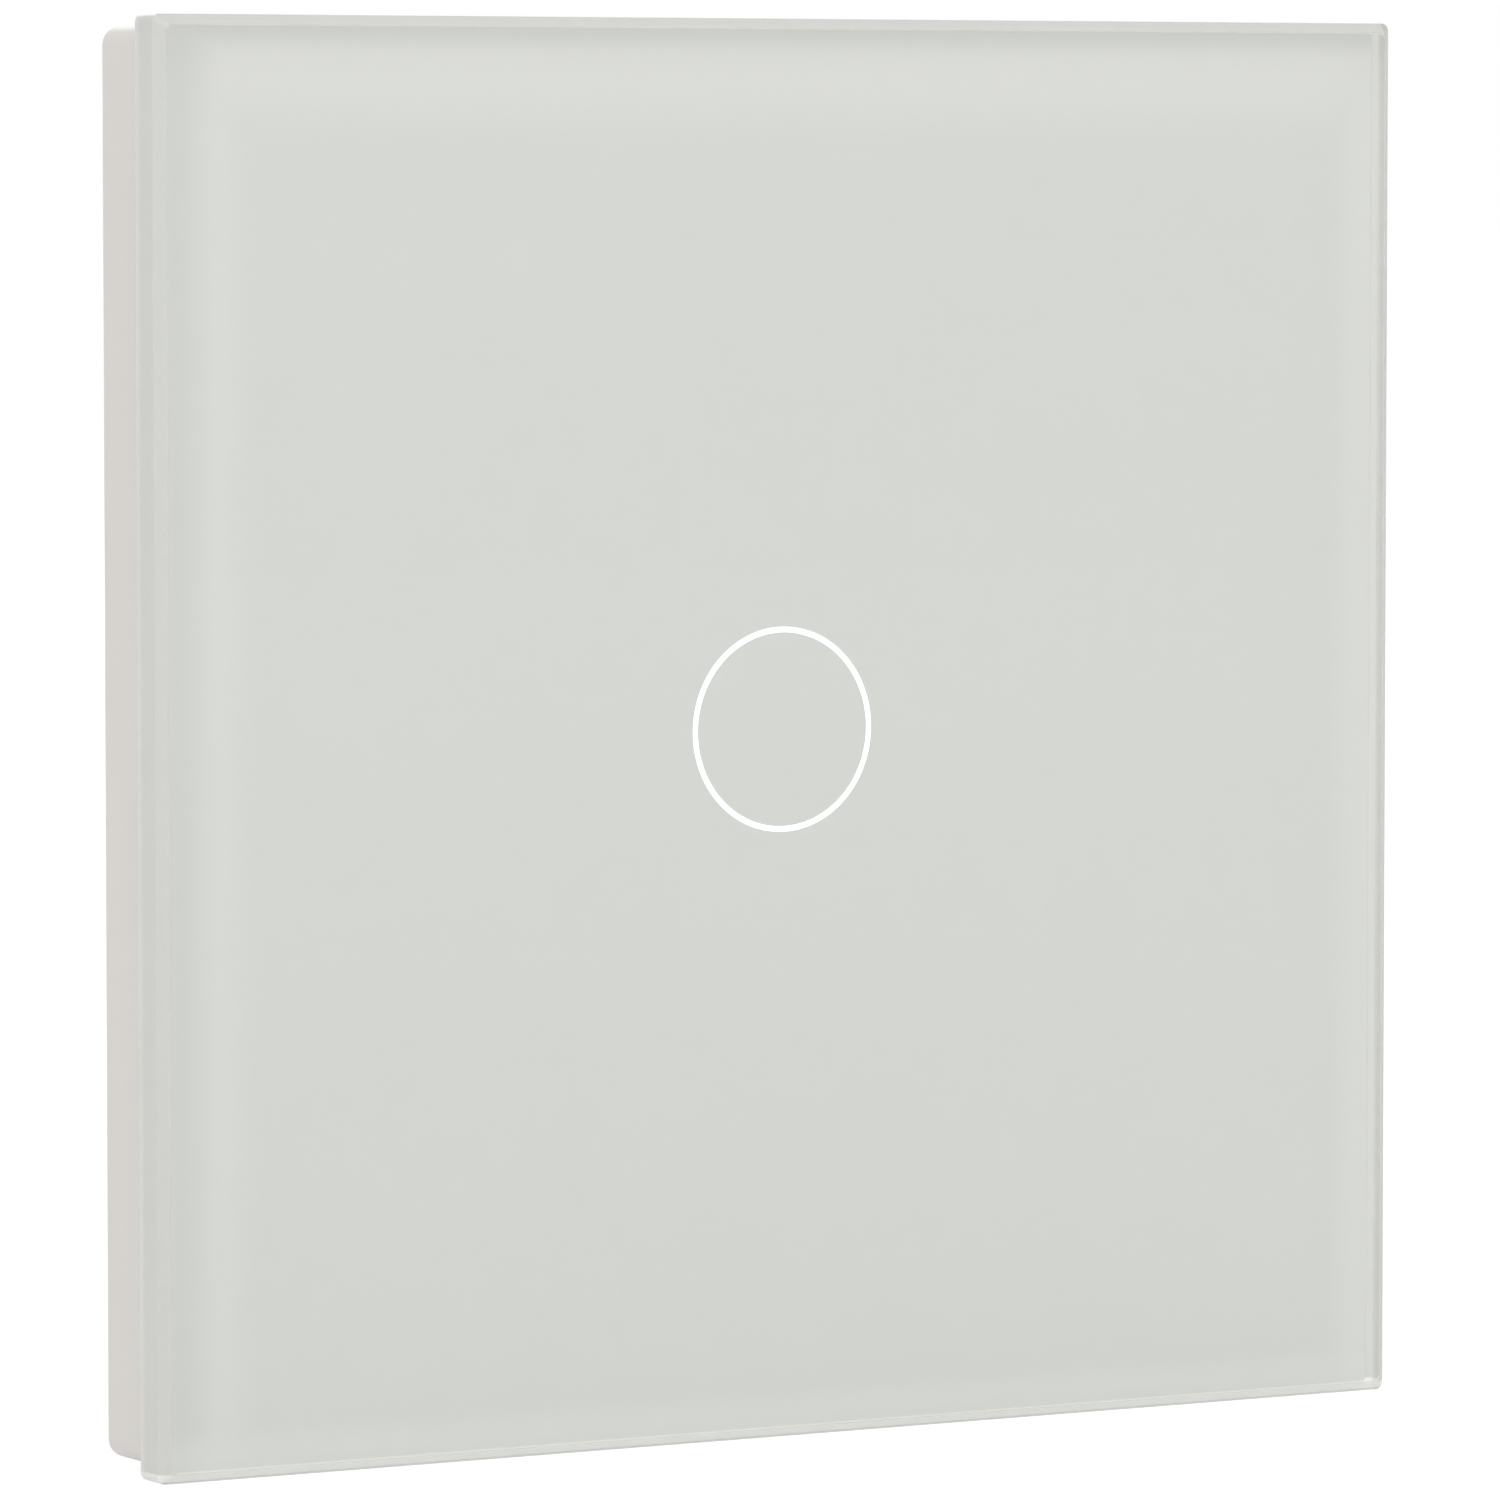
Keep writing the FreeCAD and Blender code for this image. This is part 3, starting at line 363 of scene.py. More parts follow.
def joined(name, pieces):
    """One mesh piece made of several."""
    work = bmesh.new()
    for piece in pieces:
        work.from_mesh(piece.data)
        bpy.data.objects.remove(piece)
    mesh = mesh_of(name, work)
    smooth(mesh)
    return new_piece(name, mesh)


def carve(piece, cutter):
    """Cuts one closed piece out of another and takes the cutter away."""
    cut = piece.modifiers.new("Cut", "BOOLEAN")
    cut.operation = "DIFFERENCE"
    cut.solver = "EXACT"
    cut.object = cutter
    shading = piece.modifiers.new("Shading", "WEIGHTED_NORMAL")
    shading.keep_sharp = True
    apply_modifiers(piece)
    bpy.data.objects.remove(cutter)


# Geometry trees

class Form(Net):
    """A geometry tree under construction, with one named input for each size."""

    def __init__(self, name, *lengths, **others):
        super().__init__(bpy.data.node_groups.new(name, "GeometryNodeTree"))
        kinds = {"Geometry": "Geometry", **dict.fromkeys(lengths, "Float"), **others, "Material": "Material"}
        self.tree.interface.new_socket("Geometry", in_out="OUTPUT", socket_type="NodeSocketGeometry")
        for size, kind in kinds.items():
            self.tree.interface.new_socket(size, in_out="INPUT", socket_type="NodeSocket" + kind)
        given = self.node("NodeGroupInput")
        self.given, *self.sizes, self.material = (given.output(size) for size in kinds)

    def circle(self, radius, points=192):
        return self.node("GeometryNodeCurvePrimitiveCircle", {}, Resolution=points, Radius=radius)

    def rectangle(self, width, height):
        return self.node("GeometryNodeCurvePrimitiveQuadrilateral", {"mode": "RECTANGLE"},
                         Width=width, Height=height)

    def rounded(self, curve, radius, points=8, **named):
        """A curve whose corners are rounded with a number of points each."""
        return self.node("GeometryNodeFilletCurve", {"mode": "POLY"}, Curve=curve, Count=points,
                         Radius=radius, **named)

    def filled(self, outlines, fill):
        return self.node("GeometryNodeFillCurve", {"mode": fill}, Curve=outlines)

    def flipped(self, mesh):
        return self.node("GeometryNodeFlipFaces", {}, Mesh=mesh)

    def raised(self, mesh, height, **named):
        """Faces pushed straight out, with walls round them."""
        return self.node("GeometryNodeExtrudeMesh", {"mode": "FACES"}, Mesh=mesh, Offset_Scale=height,
                         Individual=False, **named)

    def bevelled(self, mesh, width, side, **named):
        """Square faces pushed out by a width and drawn in by as much, so that their walls slope."""
        top = self.raised(mesh, width, **named)
        return self.node("GeometryNodeScaleElements", {"domain": "FACE"}, Geometry=top,
                         Selection=top.output("Top"), Scale=1 - 2 * width / side)

    def joined(self, *parts):
        return self.node("GeometryNodeJoinGeometry", {}, list(parts))

    def welded(self, *parts):
        """Parts made one where their points meet."""
        return self.node("GeometryNodeMergeByDistance", {}, Geometry=self.joined(*parts),
                         Distance=0.0001 * MM)

    def slab(self, thickness, *outlines, fill="TRIANGLES"):
        """A closed slab between outlines."""
        face = self.filled(self.joined(*outlines), fill)
        return self.welded(self.raised(face, thickness), self.flipped(face))

    def swept(self, path, section):
        return self.node("GeometryNodeCurveToMesh", {}, Curve=path, Profile_Curve=section, Fill_Caps=True)

    def copies(self, points, **named):
        """Copies of the given mesh on points."""
        return self.node("GeometryNodeInstanceOnPoints", {}, Points=points, Instance=self.given, **named)

    def along_y(self, value):
        return self.node("ShaderNodeCombineXYZ", {}, 0.0, value, 0.0)

    def standing(self, geometry, place):
        """A form drawn on the floor plane, turned to face the user and moved to a place."""
        return self.node("GeometryNodeTransform", {}, Geometry=geometry, Translation=place,
                         Rotation=(math.pi / 2, 0.0, 0.0))

    def close(self, geometry):
        """Ends the tree in real geometry with its material."""
        real = self.node("GeometryNodeRealizeInstances", {}, geometry)
        painted = self.node("GeometryNodeSetMaterial", {}, Geometry=real, Material=self.material)
        self.end("NodeGroupOutput", "Geometry", painted)
        return self.tree


def grow(name, tree, finish, mesh=None, **values):
    """A plain mesh made by a geometry tree with these values in its named inputs."""
    piece = new_piece(name, mesh)
    modifier = piece.modifiers.new("Form", "NODES")
    modifier.node_group = tree
    inputs = {item.name: item.identifier for item in tree.interface.items_tree if item.in_out == "INPUT"}
    modifier[inputs["Material"]] = finish_of(finish)
    for size, value in values.items():
        modifier[inputs[size.replace("_", " ")]] = value
    apply_modifiers(piece)
    smooth(piece.data)
    return piece


def glass_form():
    """A rounded square plate with a wide bevel in front and a fine arris behind."""
    form = Form("Glass plate", "Side", "Thickness", "Corner radius", "Bevel", "Arris", "Front")
    side, thickness, radius, bevel, arris, front = form.sizes
    face = form.filled(form.rounded(form.rectangle(side, side), radius), "NGONS")
    wall = form.raised(face, thickness - bevel - arris)
    plate = form.welded(form.bevelled(wall, bevel, side, Selection=wall.output("Top")),
                        form.bevelled(form.flipped(face), arris, side))
    return form.close(form.standing(plate, form.along_y(front + thickness - arris)))


def sheet_form():
    """A thin square sheet with a round hole, and a round disc inside the hole."""
    form = Form("Print with ring gap", "Side", "Corner radius", "Hole radius", "Disc radius", "Thickness",
                "Back")
    side, radius, hole, disc, thickness, back = form.sizes
    outline = form.rounded(form.rectangle(side, side), radius)
    sheet = form.slab(thickness, outline, form.circle(hole), form.circle(disc))
    return form.close(form.standing(sheet, form.along_y(back)))


def ring_form():
    """A thin flat ring."""
    form = Form("Lit ring", "Outer radius", "Inner radius", "Thickness", "Back")
    outer, inner, thickness, back = form.sizes
    ring = form.slab(thickness, form.circle(outer), form.circle(inner))
    return form.close(form.standing(ring, form.along_y(back)))


def spring_form():
    """A wire wound into a helix that starts on the board and rises towards the glass."""
    form = Form("Wound wire", "Radius", "Wire radius", "Rise", "Turns", "Start")
    radius, wire, rise, turns, start = form.sizes
    path = form.node("GeometryNodeCurveSpiral", {}, Resolution=48, Rotations=turns, Start_Radius=radius,
                     End_Radius=radius, Height=rise, Reverse=False)
    return form.close(form.standing(form.swept(path, form.circle(wire, 12)), form.along_y(start)))


def row_form():
    """Copies of one part in a row."""
    form = Form("Row of parts", Count="Int", Start="Vector", Step="Vector")
    count, start, step = form.sizes
    points = form.node("GeometryNodeMeshLine", {"mode": "OFFSET"}, Count=count, Start_Location=start,
                       Offset=step)
    return form.close(form.copies(points))


def circle_form():
    """Copies of one part round a circle about the Y axis, each turned to face outwards."""
    form = Form("Circle of parts", "Radius", "First turn", "Depth", Count="Int")
    radius, first, depth, count = form.sizes
    turn = form.node("GeometryNodeInputIndex") * (2 * math.pi / count) + first
    along, up = (turn.math(wave, turn) * radius for wave in ("COSINE", "SINE"))
    place = form.node("ShaderNodeCombineXYZ", {}, along, depth, up)
    points = form.node("GeometryNodePoints", {}, Count=count, Position=place)
    return form.close(form.copies(points, Rotation=form.along_y(-turn)))


def path_form():
    """Flat strips that follow drawn lines and cut across each corner, as tracks on a board do."""
    form = Form("Tracks", "Width", "Thickness", "Corner")
    width, thickness, corner = form.sizes
    lines = form.node("GeometryNodeMeshToCurve", {}, Mesh=form.given)
    lines = form.rounded(lines, corner, 1, Limit_Radius=True)
    lines = form.node("GeometryNodeSetCurveNormal", {"mode": "FREE"}, Curve=lines, Normal=(0.0, -1.0, 0.0))
    return form.close(form.swept(lines, form.rectangle(thickness, width)))


def panel_form():
    """A slab with a rounded rectangular outline that faces the wall."""
    form = Form("Rounded panel", "Width", "Height", "Corner radius", "Thickness", Centre="Vector")
    width, height, radius, thickness, centre = form.sizes
    outline = form.rounded(form.rectangle(width, height), radius)
    return form.close(form.standing(form.slab(thickness, outline, fill="NGONS"), centre))


# Finishes

class Finish(Net):
    """A material under construction, with Object coordinates to start from."""

    def __init__(self, name):
        self.material = bpy.data.materials.new(name)
        self.material.use_nodes = True
        super().__init__(self.material.node_tree)
        self.tree.nodes.clear()
        self.place = self.node("ShaderNodeTexCoord").output("Object")
        axes = self.node("ShaderNodeSeparateXYZ", {}, self.place)
        self.x, self.y, self.z = axes, axes.output("Y"), axes.output("Z")

    def noise(self, size, detail=2.0, stretch=(1.0, 1.0, 1.0)):
        """Noise from 0 to 1, with lumps of about one size in metres."""
        place = self.node("ShaderNodeMapping", {}, Vector=self.place, Scale=stretch)
        return self.node("ShaderNodeTexNoise", {}, Vector=place, Scale=1 / size, Detail=detail)

    def cells(self, size):
        """Cells of about one size in metres: the distance into each, with its colour beside it."""
        return self.node("ShaderNodeTexVoronoi", {}, Vector=self.place, Scale=1 / size)

    def mix(self, factor, first, second):
        """A colour between two others."""
        return self.node("ShaderNodeMix", {"data_type": "RGBA"}, factor, opaque(first), opaque(second))

    def blend(self, factor, first, second):
        """A shader between two others."""
        return self.node("ShaderNodeMixShader", {}, factor, first, second)

    def surface(self, colour, roughness, relief=None, **sockets):
        """A surface, and its relief where it has one: the height, its strength and its depth."""
        if relief:
            height, strength, depth = relief
            sockets["Normal"] = self.node("ShaderNodeBump", {}, Strength=strength, Distance=depth,
                                          Height=height)
        return self.node("ShaderNodeBsdfPrincipled", {}, Base_Color=colour, Roughness=roughness, **sockets)

    def close(self, shader):
        self.end("ShaderNodeOutputMaterial", "Surface", shader)
        return self.material

    def coat(self, colour, roughness, relief=None, **sockets):
        """Ends the material in one surface."""
        return self.close(self.surface(colour, roughness, relief, **sockets))


def opaque(colour):
    """A colour with its alpha, or a wire as it is."""
    return colour if isinstance(colour, Wire) else (*colour[:3], 1.0)


def shade(colour, factor):
    return tuple(channel * factor for channel in colour[:3])


def moulded(name, colour, roughness=0.45, grain=0.00018, relief=0.12, spread=0.03):
    """Moulded plastic: faint flow marks, a spark-eroded grain and slightly uneven gloss."""
    finish = Finish(name)
    flow = finish.noise(0.009, 3.0, (1.0, 1.0, 0.45))
    tone = finish.mix(flow, shade(colour, 1 - spread), shade(colour, 1 + spread))
    uneven = roughness + (finish.noise(0.0035) - 0.5) * 0.12
    return finish.coat(tone, uneven, (finish.noise(grain), relief, 0.02 * MM))


def metal(name, colour, roughness=0.3, stretch=(1.0, 1.0, 0.04), relief=0.15):
    """Bright metal with fine lines along one direction and a little dulling."""
    finish = Finish(name)
    lines = finish.noise(0.00012, 2.0, stretch)
    dulling = finish.noise(0.0025, 3.0)
    tone = finish.mix(dulling, shade(colour, 0.86), shade(colour, 1.06))
    return finish.coat(tone, roughness + (dulling - 0.5) * 0.2, (lines, relief, 0.01 * MM), Metallic=1.0)


def dipped(name, colour):
    """A part dipped in lacquer, with an orange-peel skin."""
    finish = Finish(name)
    tone = finish.mix(finish.noise(0.002), shade(colour, 0.88), shade(colour, 1.1))
    return finish.coat(tone, 0.35, (finish.noise(0.0006, 1.0), 0.3, 0.05 * MM))


def clear_face(finish, through):
    """Float glass, which shadow and diffuse rays pass straight through."""
    tint = opaque(settings().colours.glass)
    glass = finish.surface(tint, 0.0, (finish.noise(0.018, 1.0), 0.02, 0.02 * MM), IOR=1.5,
                           Transmission_Weight=1.0)
    return finish.blend(through, glass, finish.node("ShaderNodeBsdfTransparent", {}, tint))


def ground_edge(finish, rear):
    """The frosted bevel, sides and arris, with painted light at the rear, the arris and below, and painted
    shade on the left and right bevels.
    """
    colour, bevel = settings().colours.ground_edge, settings().glass.bevel
    low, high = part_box("glass_panel")
    grinding = finish.noise(0.00008)
    tone = finish.mix(finish.noise(0.004, 3.0), shade(colour, 0.97), shade(colour, 1.03))
    # Masks for the painted light at the rear and below and the painted shade on the left and right bevels
    back = finish.y.fade(high.y - REAR_PAINTED_LIGHT_DEPTH, high.y)
    front = 1 - finish.y.fade(low.y + bevel, low.y + bevel * 1.1)
    left = (1 - finish.x.fade(low.x + bevel * GROUND_SEAM, low.x + bevel)) * front
    right = finish.x.fade(high.x - bevel, high.x - bevel * GROUND_SEAM) * front
    rise = finish.z - low.z
    lower_painted_light = (1 - rise.fade(bevel * GROUND_SEAM, bevel)) * rise.fade(bevel * 0.1, bevel * 0.35)
    # Painted light on the rear, arris and lower edge, and painted shade on the left and right bevels
    for place, factor in ((back, REAR_EDGE_PAINTED_LIGHT), (rear, ARRIS_PAINTED_LIGHT), (left, LEFT_BEVEL_PAINTED_SHADE), (right, RIGHT_BEVEL_PAINTED_SHADE),
                          (lower_painted_light, LOWER_EDGE_PAINTED_LIGHT)):
        tone = finish.mix(place, tone, shade(colour, factor))
    return finish.surface(tone, 0.3 + grinding * 0.2, (grinding, 0.15, 0.01 * MM), Specular_IOR_Level=0.2)


def clear_glass():
    """Float glass with ground edges: the face is clear, the bevel, sides and arris are frosted."""
    finish = Finish("clear glass")
    sizes = settings().glass
    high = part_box("glass_panel")[1]
    path = finish.node("ShaderNodeLightPath")
    through = path.output("Is Shadow Ray").most(path.output("Is Diffuse Ray"))
    rear = finish.y.fade(high.y - sizes.arris * 1.1, high.y - sizes.arris)
    from_edge = high.x - abs(finish.x).most(abs(finish.z))
    frost = FROST + rear * (REAR_FROST - FROST)
    ground = (1 - from_edge.fade(sizes.bevel * GROUND_SEAM, sizes.bevel)) * frost * (1 - through * 0.7)
    return finish.close(finish.blend(ground, clear_face(finish, through), ground_edge(finish, rear)))


def rim(distance, strength, start, end):
    """How strong the painted light and shade of a rim is at a distance from the print's edge."""
    return strength * (1 - distance.fade(start, end))


def white_print():
    """The print on the back of the glass, with a paler border of painted light along the left, top and
    right, painted shade in its left and top rims and painted light in its low rim.
    """
    finish = Finish("white print")
    colours, border = settings().colours, settings().glass.backed_border
    low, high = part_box("printed_backing")
    left, right = finish.x - low.x, high.x - finish.x
    top, bottom = high.z - finish.z, finish.z - low.z
    # Painted light: a paler border, wide along the left and top and narrow on the right
    left_top_painted_light = 1 - left.least(top).fade(border * 0.35, border)
    right_painted_light = 1 - right.fade(border * 0.05, border * 0.45)
    tone = finish.mix(finish.noise(0.006, 4.0), shade(colours.print, 0.992), shade(colours.print, 1.008))
    tone = finish.mix(left_top_painted_light.most(right_painted_light), tone, colours.print_border)
    # Painted shade in the left and top rims, and painted light in the low rim
    tone = finish.mix(rim(left, *LEFT_RIM_PAINTED_SHADE).most(rim(top, *TOP_RIM_PAINTED_SHADE)), tone, shade(colours.print, PAINTED_SHADE_FACTOR))
    tone = finish.mix(rim(bottom, *LOW_RIM_PAINTED_LIGHT), tone, shade(colours.print, PAINTED_LIGHT_FACTOR))
    return finish.coat(tone, 0.5, (finish.noise(0.0002), 0.05, 0.01 * MM), Specular_IOR_Level=0.2)


def ring_ink():
    """Translucent ink with lamps behind it, a little uneven in its brightness."""
    finish = Finish("ring ink")
    colours = settings().colours
    lit = finish.mix(finish.noise(0.004, 0.0), shade(colours.ring, 0.97), colours.ring)
    return finish.coat(opaque(shade(colours.ring, 0.6)), 0.4, Emission_Color=lit,
                       Emission_Strength=colours.ring_strength)


def tape_foam():
    """Closed-cell foam tape."""
    finish = Finish("tape foam")
    pores = finish.cells(0.2 * MM)
    return finish.coat(finish.mix(pores, (0.85, 0.85, 0.84), (0.76, 0.76, 0.75)), 0.85,
                       (pores, 0.5, 0.05 * MM))


def frame_plastic():
    colour = settings().colours.frame
    return moulded("frame plastic", colour, roughness=0.42, grain=0.00016, relief=0.1, spread=0.012)


def module_plastic():
    return moulded("module plastic", settings().colours.module, roughness=0.5)


def box_plastic():
    return moulded("box plastic", settings().colours.box, roughness=0.52, grain=0.00022, relief=0.18)


def zinc_steel():
    """Galvanised sheet with its crystals, rolling lines and cloudy patches."""
    finish = Finish("zinc steel")
    colour = settings().colours.zinc
    crystals = finish.node("ShaderNodeSeparateColor", {}, finish.cells(0.0028).output("Color"))
    lines = finish.noise(0.00025, 2.0, (1.0, 1.0, 0.02))
    cloud = finish.noise(0.012, 3.0)
    tone = finish.mix(crystals * 0.6 + cloud * 0.4, shade(colour, 0.8), shade(colour, 1.12))
    return finish.coat(tone, 0.3 + crystals * 0.14 + lines * 0.08,
                       (lines + crystals * 0.4, 0.12, 0.01 * MM), Metallic=1.0)


def terminal_screw_steel():
    """A turned screw: rings round its axis under a yellowish zinc coat."""
    finish = Finish("terminal screw steel")
    coat = finish.noise(0.0014, 3.0)
    tone = finish.mix(coat, (0.56, 0.55, 0.50), (0.72, 0.71, 0.67))
    grooves = finish.noise(0.00015, 1.0, (0.05, 1.0, 0.05))
    return finish.coat(tone, 0.26 + coat * 0.16, (grooves, 0.1, 0.01 * MM), Metallic=1.0)


def board_laminate():
    """Green solder mask over a glass weave, with hatched copper showing through at the left."""
    finish = Finish("board laminate")
    colour = settings().colours.board
    thread, hatch = 0.5 * MM, 1.6 * MM
    weave = finish.x.wave(thread) * finish.z.wave(thread)
    lines = (finish.x + finish.z).wave(hatch).most((finish.x - finish.z).wave(hatch)).fade(0.8, 0.86)
    left, right = (edge * MM for edge in HATCH_EDGES)
    soft = 0.1 * MM
    hatched = lines * (1 - finish.x.fade(right - soft, right)) * finish.x.fade(left, left + soft)
    tone = finish.mix(weave * 0.5 + finish.noise(0.008) * 0.5, shade(colour, 0.8), shade(colour, 1.2))
    tone = finish.mix(hatched, tone, shade(colour, 1.9))
    return finish.coat(tone, 0.28 + weave * 0.1, (weave + hatched * 3, 0.1, 0.02 * MM))


def masked_copper():
    """A copper track under the solder mask, paler and proud of the board."""
    finish = Finish("masked copper")
    colour = settings().colours.board
    return finish.coat(finish.mix(finish.noise(0.003), shade(colour, 1.7), shade(colour, 2.2)), 0.26)


def milky_plastic():
    """A diffusing plastic that light sinks into."""
    finish = Finish("milky plastic")
    tone = finish.mix(finish.noise(0.002), (0.84, 0.86, 0.85), (0.9, 0.91, 0.9))
    return finish.coat(tone, 0.38, (finish.noise(0.0003), 0.08, 0.02 * MM), Subsurface_Weight=0.4,
                       Subsurface_Scale=1.2 * MM)


def lamp_phosphor():
    """Yellow phosphor in the window of a small white lamp."""
    finish = Finish("lamp phosphor")
    tone = finish.mix(finish.noise(0.00005), (0.82, 0.66, 0.06), (0.9, 0.78, 0.16))
    return finish.coat(tone, 0.2, Coat_Weight=0.6)


def enamelled_copper():
    """Fine enamelled wire, wound in close turns along the coil's length."""
    finish = Finish("enamelled copper")
    turns = finish.y.wave(0.15 * MM)
    tone = finish.mix(turns, (0.30, 0.10, 0.03), (0.66, 0.30, 0.12))
    return finish.coat(tone, 0.3, (turns, 0.8, 0.06 * MM), Metallic=0.8)


FINISHES = {make.__name__: make for make in (
    clear_glass, white_print, ring_ink, tape_foam, frame_plastic, module_plastic, box_plastic, zinc_steel,
    terminal_screw_steel, board_laminate, masked_copper, milky_plastic, lamp_phosphor, enamelled_copper,
)}
# The plainer finishes: how each is made, its colour, and what it has that is not the usual
PLAIN_FINISHES = {
    "screw_steel": (metal, (0.60, 0.60, 0.58), dict(roughness=0.32, stretch=(1.0, 0.2, 1.0))),
    "led_body": (moulded, (0.88, 0.87, 0.80), dict(name="lamp body", roughness=0.3, relief=0.03)),
    "spring_steel": (metal, (0.66, 0.66, 0.64), dict(roughness=0.24, stretch=(1.0, 1.0, 1.0), relief=0.05)),
    "chip_resin": (moulded, (0.03, 0.03, 0.034), dict(roughness=0.5, grain=0.00006, relief=0.3, spread=0.1)),
    "chip_ceramic": (moulded, (0.05, 0.045, 0.045), dict(roughness=0.35, grain=0.00005, relief=0.1)),
    "header_plastic": (moulded, (0.03, 0.03, 0.03), dict(roughness=0.42, spread=0.08)),
    "gold_plate": (metal, (0.85, 0.65, 0.28), dict(roughness=0.2, stretch=(1.0, 0.1, 1.0), relief=0.04)),
    "solder": (metal, (0.70, 0.70, 0.69), dict(roughness=0.22, stretch=(1.0, 1.0, 1.0), relief=0.03)),
    "tinned_wire": (metal, (0.72, 0.72, 0.71), dict(roughness=0.25, stretch=(1.0, 0.1, 1.0), relief=0.05)),
    "relay_plastic": (moulded, (0.02, 0.06, 0.20), dict(roughness=0.3, relief=0.06, spread=0.06)),
    "soft_iron": (metal, (0.50, 0.50, 0.48), dict(roughness=0.4)),
    "bobbin_plastic": (moulded, (0.75, 0.74, 0.68), dict(roughness=0.45)),
    "contact_brass": (metal, (0.78, 0.60, 0.34), dict(roughness=0.26)),
    "film_case": (moulded, (0.80, 0.56, 0.05),
                  dict(name="film capacitor case", roughness=0.3, relief=0.05, spread=0.05)),
    "can_sleeve": (moulded, (0.035, 0.035, 0.05), dict(roughness=0.22, relief=0.04, spread=0.08)),
    "varistor_coating": (dipped, (0.04, 0.16, 0.42), {}),
    "fuse_body": (dipped, (0.42, 0.30, 0.20), {}),
    "ferrite": (moulded, (0.055, 0.055, 0.06), dict(roughness=0.6, grain=0.0001, relief=0.35, spread=0.1)),
    "terminal_brass": (metal, (0.74, 0.58, 0.30), dict(roughness=0.28)),
}
made_finishes = {}


def finish_of(slot):
    """The material of a slot, made once."""
    if slot in made_finishes:
        return made_finishes[slot]
    if slot in FINISHES:
        material = FINISHES[slot]()
    else:
        make, colour, facts = PLAIN_FINISHES[slot]
        material = make(**{"name": slot.replace("_", " "), "colour": colour, **facts})
    made_finishes[slot] = material
    return material


# Sizes and colours that a user would change

def length(name, description, size, least=0.0):
    """A length that a user may change, given in millimetres and kept in metres."""
    return number(name, description, size * MM, least * MM, unit="LENGTH")


def angle(name, description, degrees):
    """An angle that a user may change, given in degrees."""
    return FloatProperty(name=name, description=description, default=math.radians(degrees), unit="ROTATION")


def number(name, description, default, least=0.0, **named):
    return FloatProperty(name=name, description=description, default=default, min=least, **named)


def colour(name, description, *default):
    return FloatVectorProperty(name=name, description=description, default=default, size=3, min=0.0, max=1.0,
                               subtype="COLOR")


class GlassSizes(bpy.types.PropertyGroup):
    corner_radius: length("Corner radius", "Rounding of the plate's four corners", 0.45, 0.2)
    bevel: length("Front bevel", "Width of the ground bevel round the front", 0.6, 0.1)
    arris: length("Rear arris", "Width of the fine bevel round the back", 0.3, 0.05)
    # Painted light: width of the paler border painted into the print, wide along the left and top and
    # narrower on the right
    backed_border: length("Backed border", "Width of the paler border, where the frame backs it", 7.0, 0.1)
    ring_line: length("Ring line", "Width of the lit ring's line", 0.31, 0.05)
    ring_inset: length("Ring inset", "Ink that creeps over the outer edge of the ring's opening", 0.08)


class MetalSizes(bpy.types.PropertyGroup):
    plate_edge: length("Plate edge", "Rounding of the pressed steel edges", 0.12)
    screw_edge: length("Screw edge", "Rounding of the screws' edges", 0.1)
    spring_wire: length("Spring wire", "Diameter of the touch spring's wire", 0.4, 0.1)
    spring_turns: number("Spring turns", "Turns of the touch spring", 2.0, 0.5)


class PlasticSizes(bpy.types.PropertyGroup):
    frame_edge: length("Frame edge", "Rounding of the cover frame's edges", 0.15)
    box_edge: length("Box edge", "Rounding of the power box's edges", 0.15)
    tray_edge: length("Tray edge", "Rounding of the module tray's edges", 0.12)
    panel_depth: length("Panel depth", "Depth of the bare panel in the power box's rear face", 0.25)
    mark_depth: length("Ejector mark depth", "Depth of the ejector marks in the power box", 0.12)


class Colours(bpy.types.PropertyGroup):
    glass: colour("Glass", "Tint of the glass", 0.99, 0.998, 0.993)
    ground_edge: colour("Ground edge", "The ground bevel and sides of the glass", 0.69, 0.69, 0.665)
    print: colour("Print", "Print on the back of the glass", 0.674, 0.682, 0.654)
    # Painted light: the paler tone painted into the print's border
    print_border: colour("Print border", "The print where the frame backs it", 0.73, 0.732, 0.705)
    ring: colour("Ring", "Light of the ring", 1.0, 1.0, 1.0)
    ring_strength: number("Ring strength", "Brightness of the lit ring", 0.8)
    frame: colour("Frame", "Plastic of the cover frame", 0.765, 0.738, 0.705)
    module: colour("Tray", "Plastic of the module tray", 0.78, 0.78, 0.76)
    box: colour("Power box", "Plastic of the power box", 0.76, 0.76, 0.74)
    zinc: colour("Zinc", "Galvanised mounting plate", 0.62, 0.64, 0.66)
    board: colour("Board", "Solder mask of the boards", 0.02, 0.15, 0.06)


class StageSettings(bpy.types.PropertyGroup):
    distance: length("Camera distance", "From the camera to the point that it looks at", 532.0, 100.0)
    azimuth: angle("Camera azimuth", "How far the camera stands round to the right", -29.78)
    elevation: angle("Camera elevation", "How far the camera looks down", 3.68)
    focal_pixels: number("Focal length", "In pixels of an image 1500 pixels wide", 9291.0, 100.0)
    ambient: number("Ambient light", "Strength of the even light from all round", 0.56)
    lamp_power: number("Lamp power", "Power of the main soft lamp", 5.0, unit="POWER")


class SwitchSettings(bpy.types.PropertyGroup):
    glass: PointerProperty(type=GlassSizes)
    metal: PointerProperty(type=MetalSizes)
    plastic: PointerProperty(type=PlasticSizes)
    colours: PointerProperty(type=Colours)
    stage: PointerProperty(type=StageSettings)


def settings():
    return bpy.context.scene.light_switch


# Pieces

def make_glass():
    low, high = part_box("glass_panel")
    sizes = settings().glass
    plate = grow("glass_plate", glass_form(), "clear_glass", Side=high.x - low.x, Thickness=high.y - low.y,
                 Corner_radius=sizes.corner_radius, Bevel=sizes.bevel, Arris=sizes.arris, Front=low.y)
    stand_in(plate, "glass_panel")


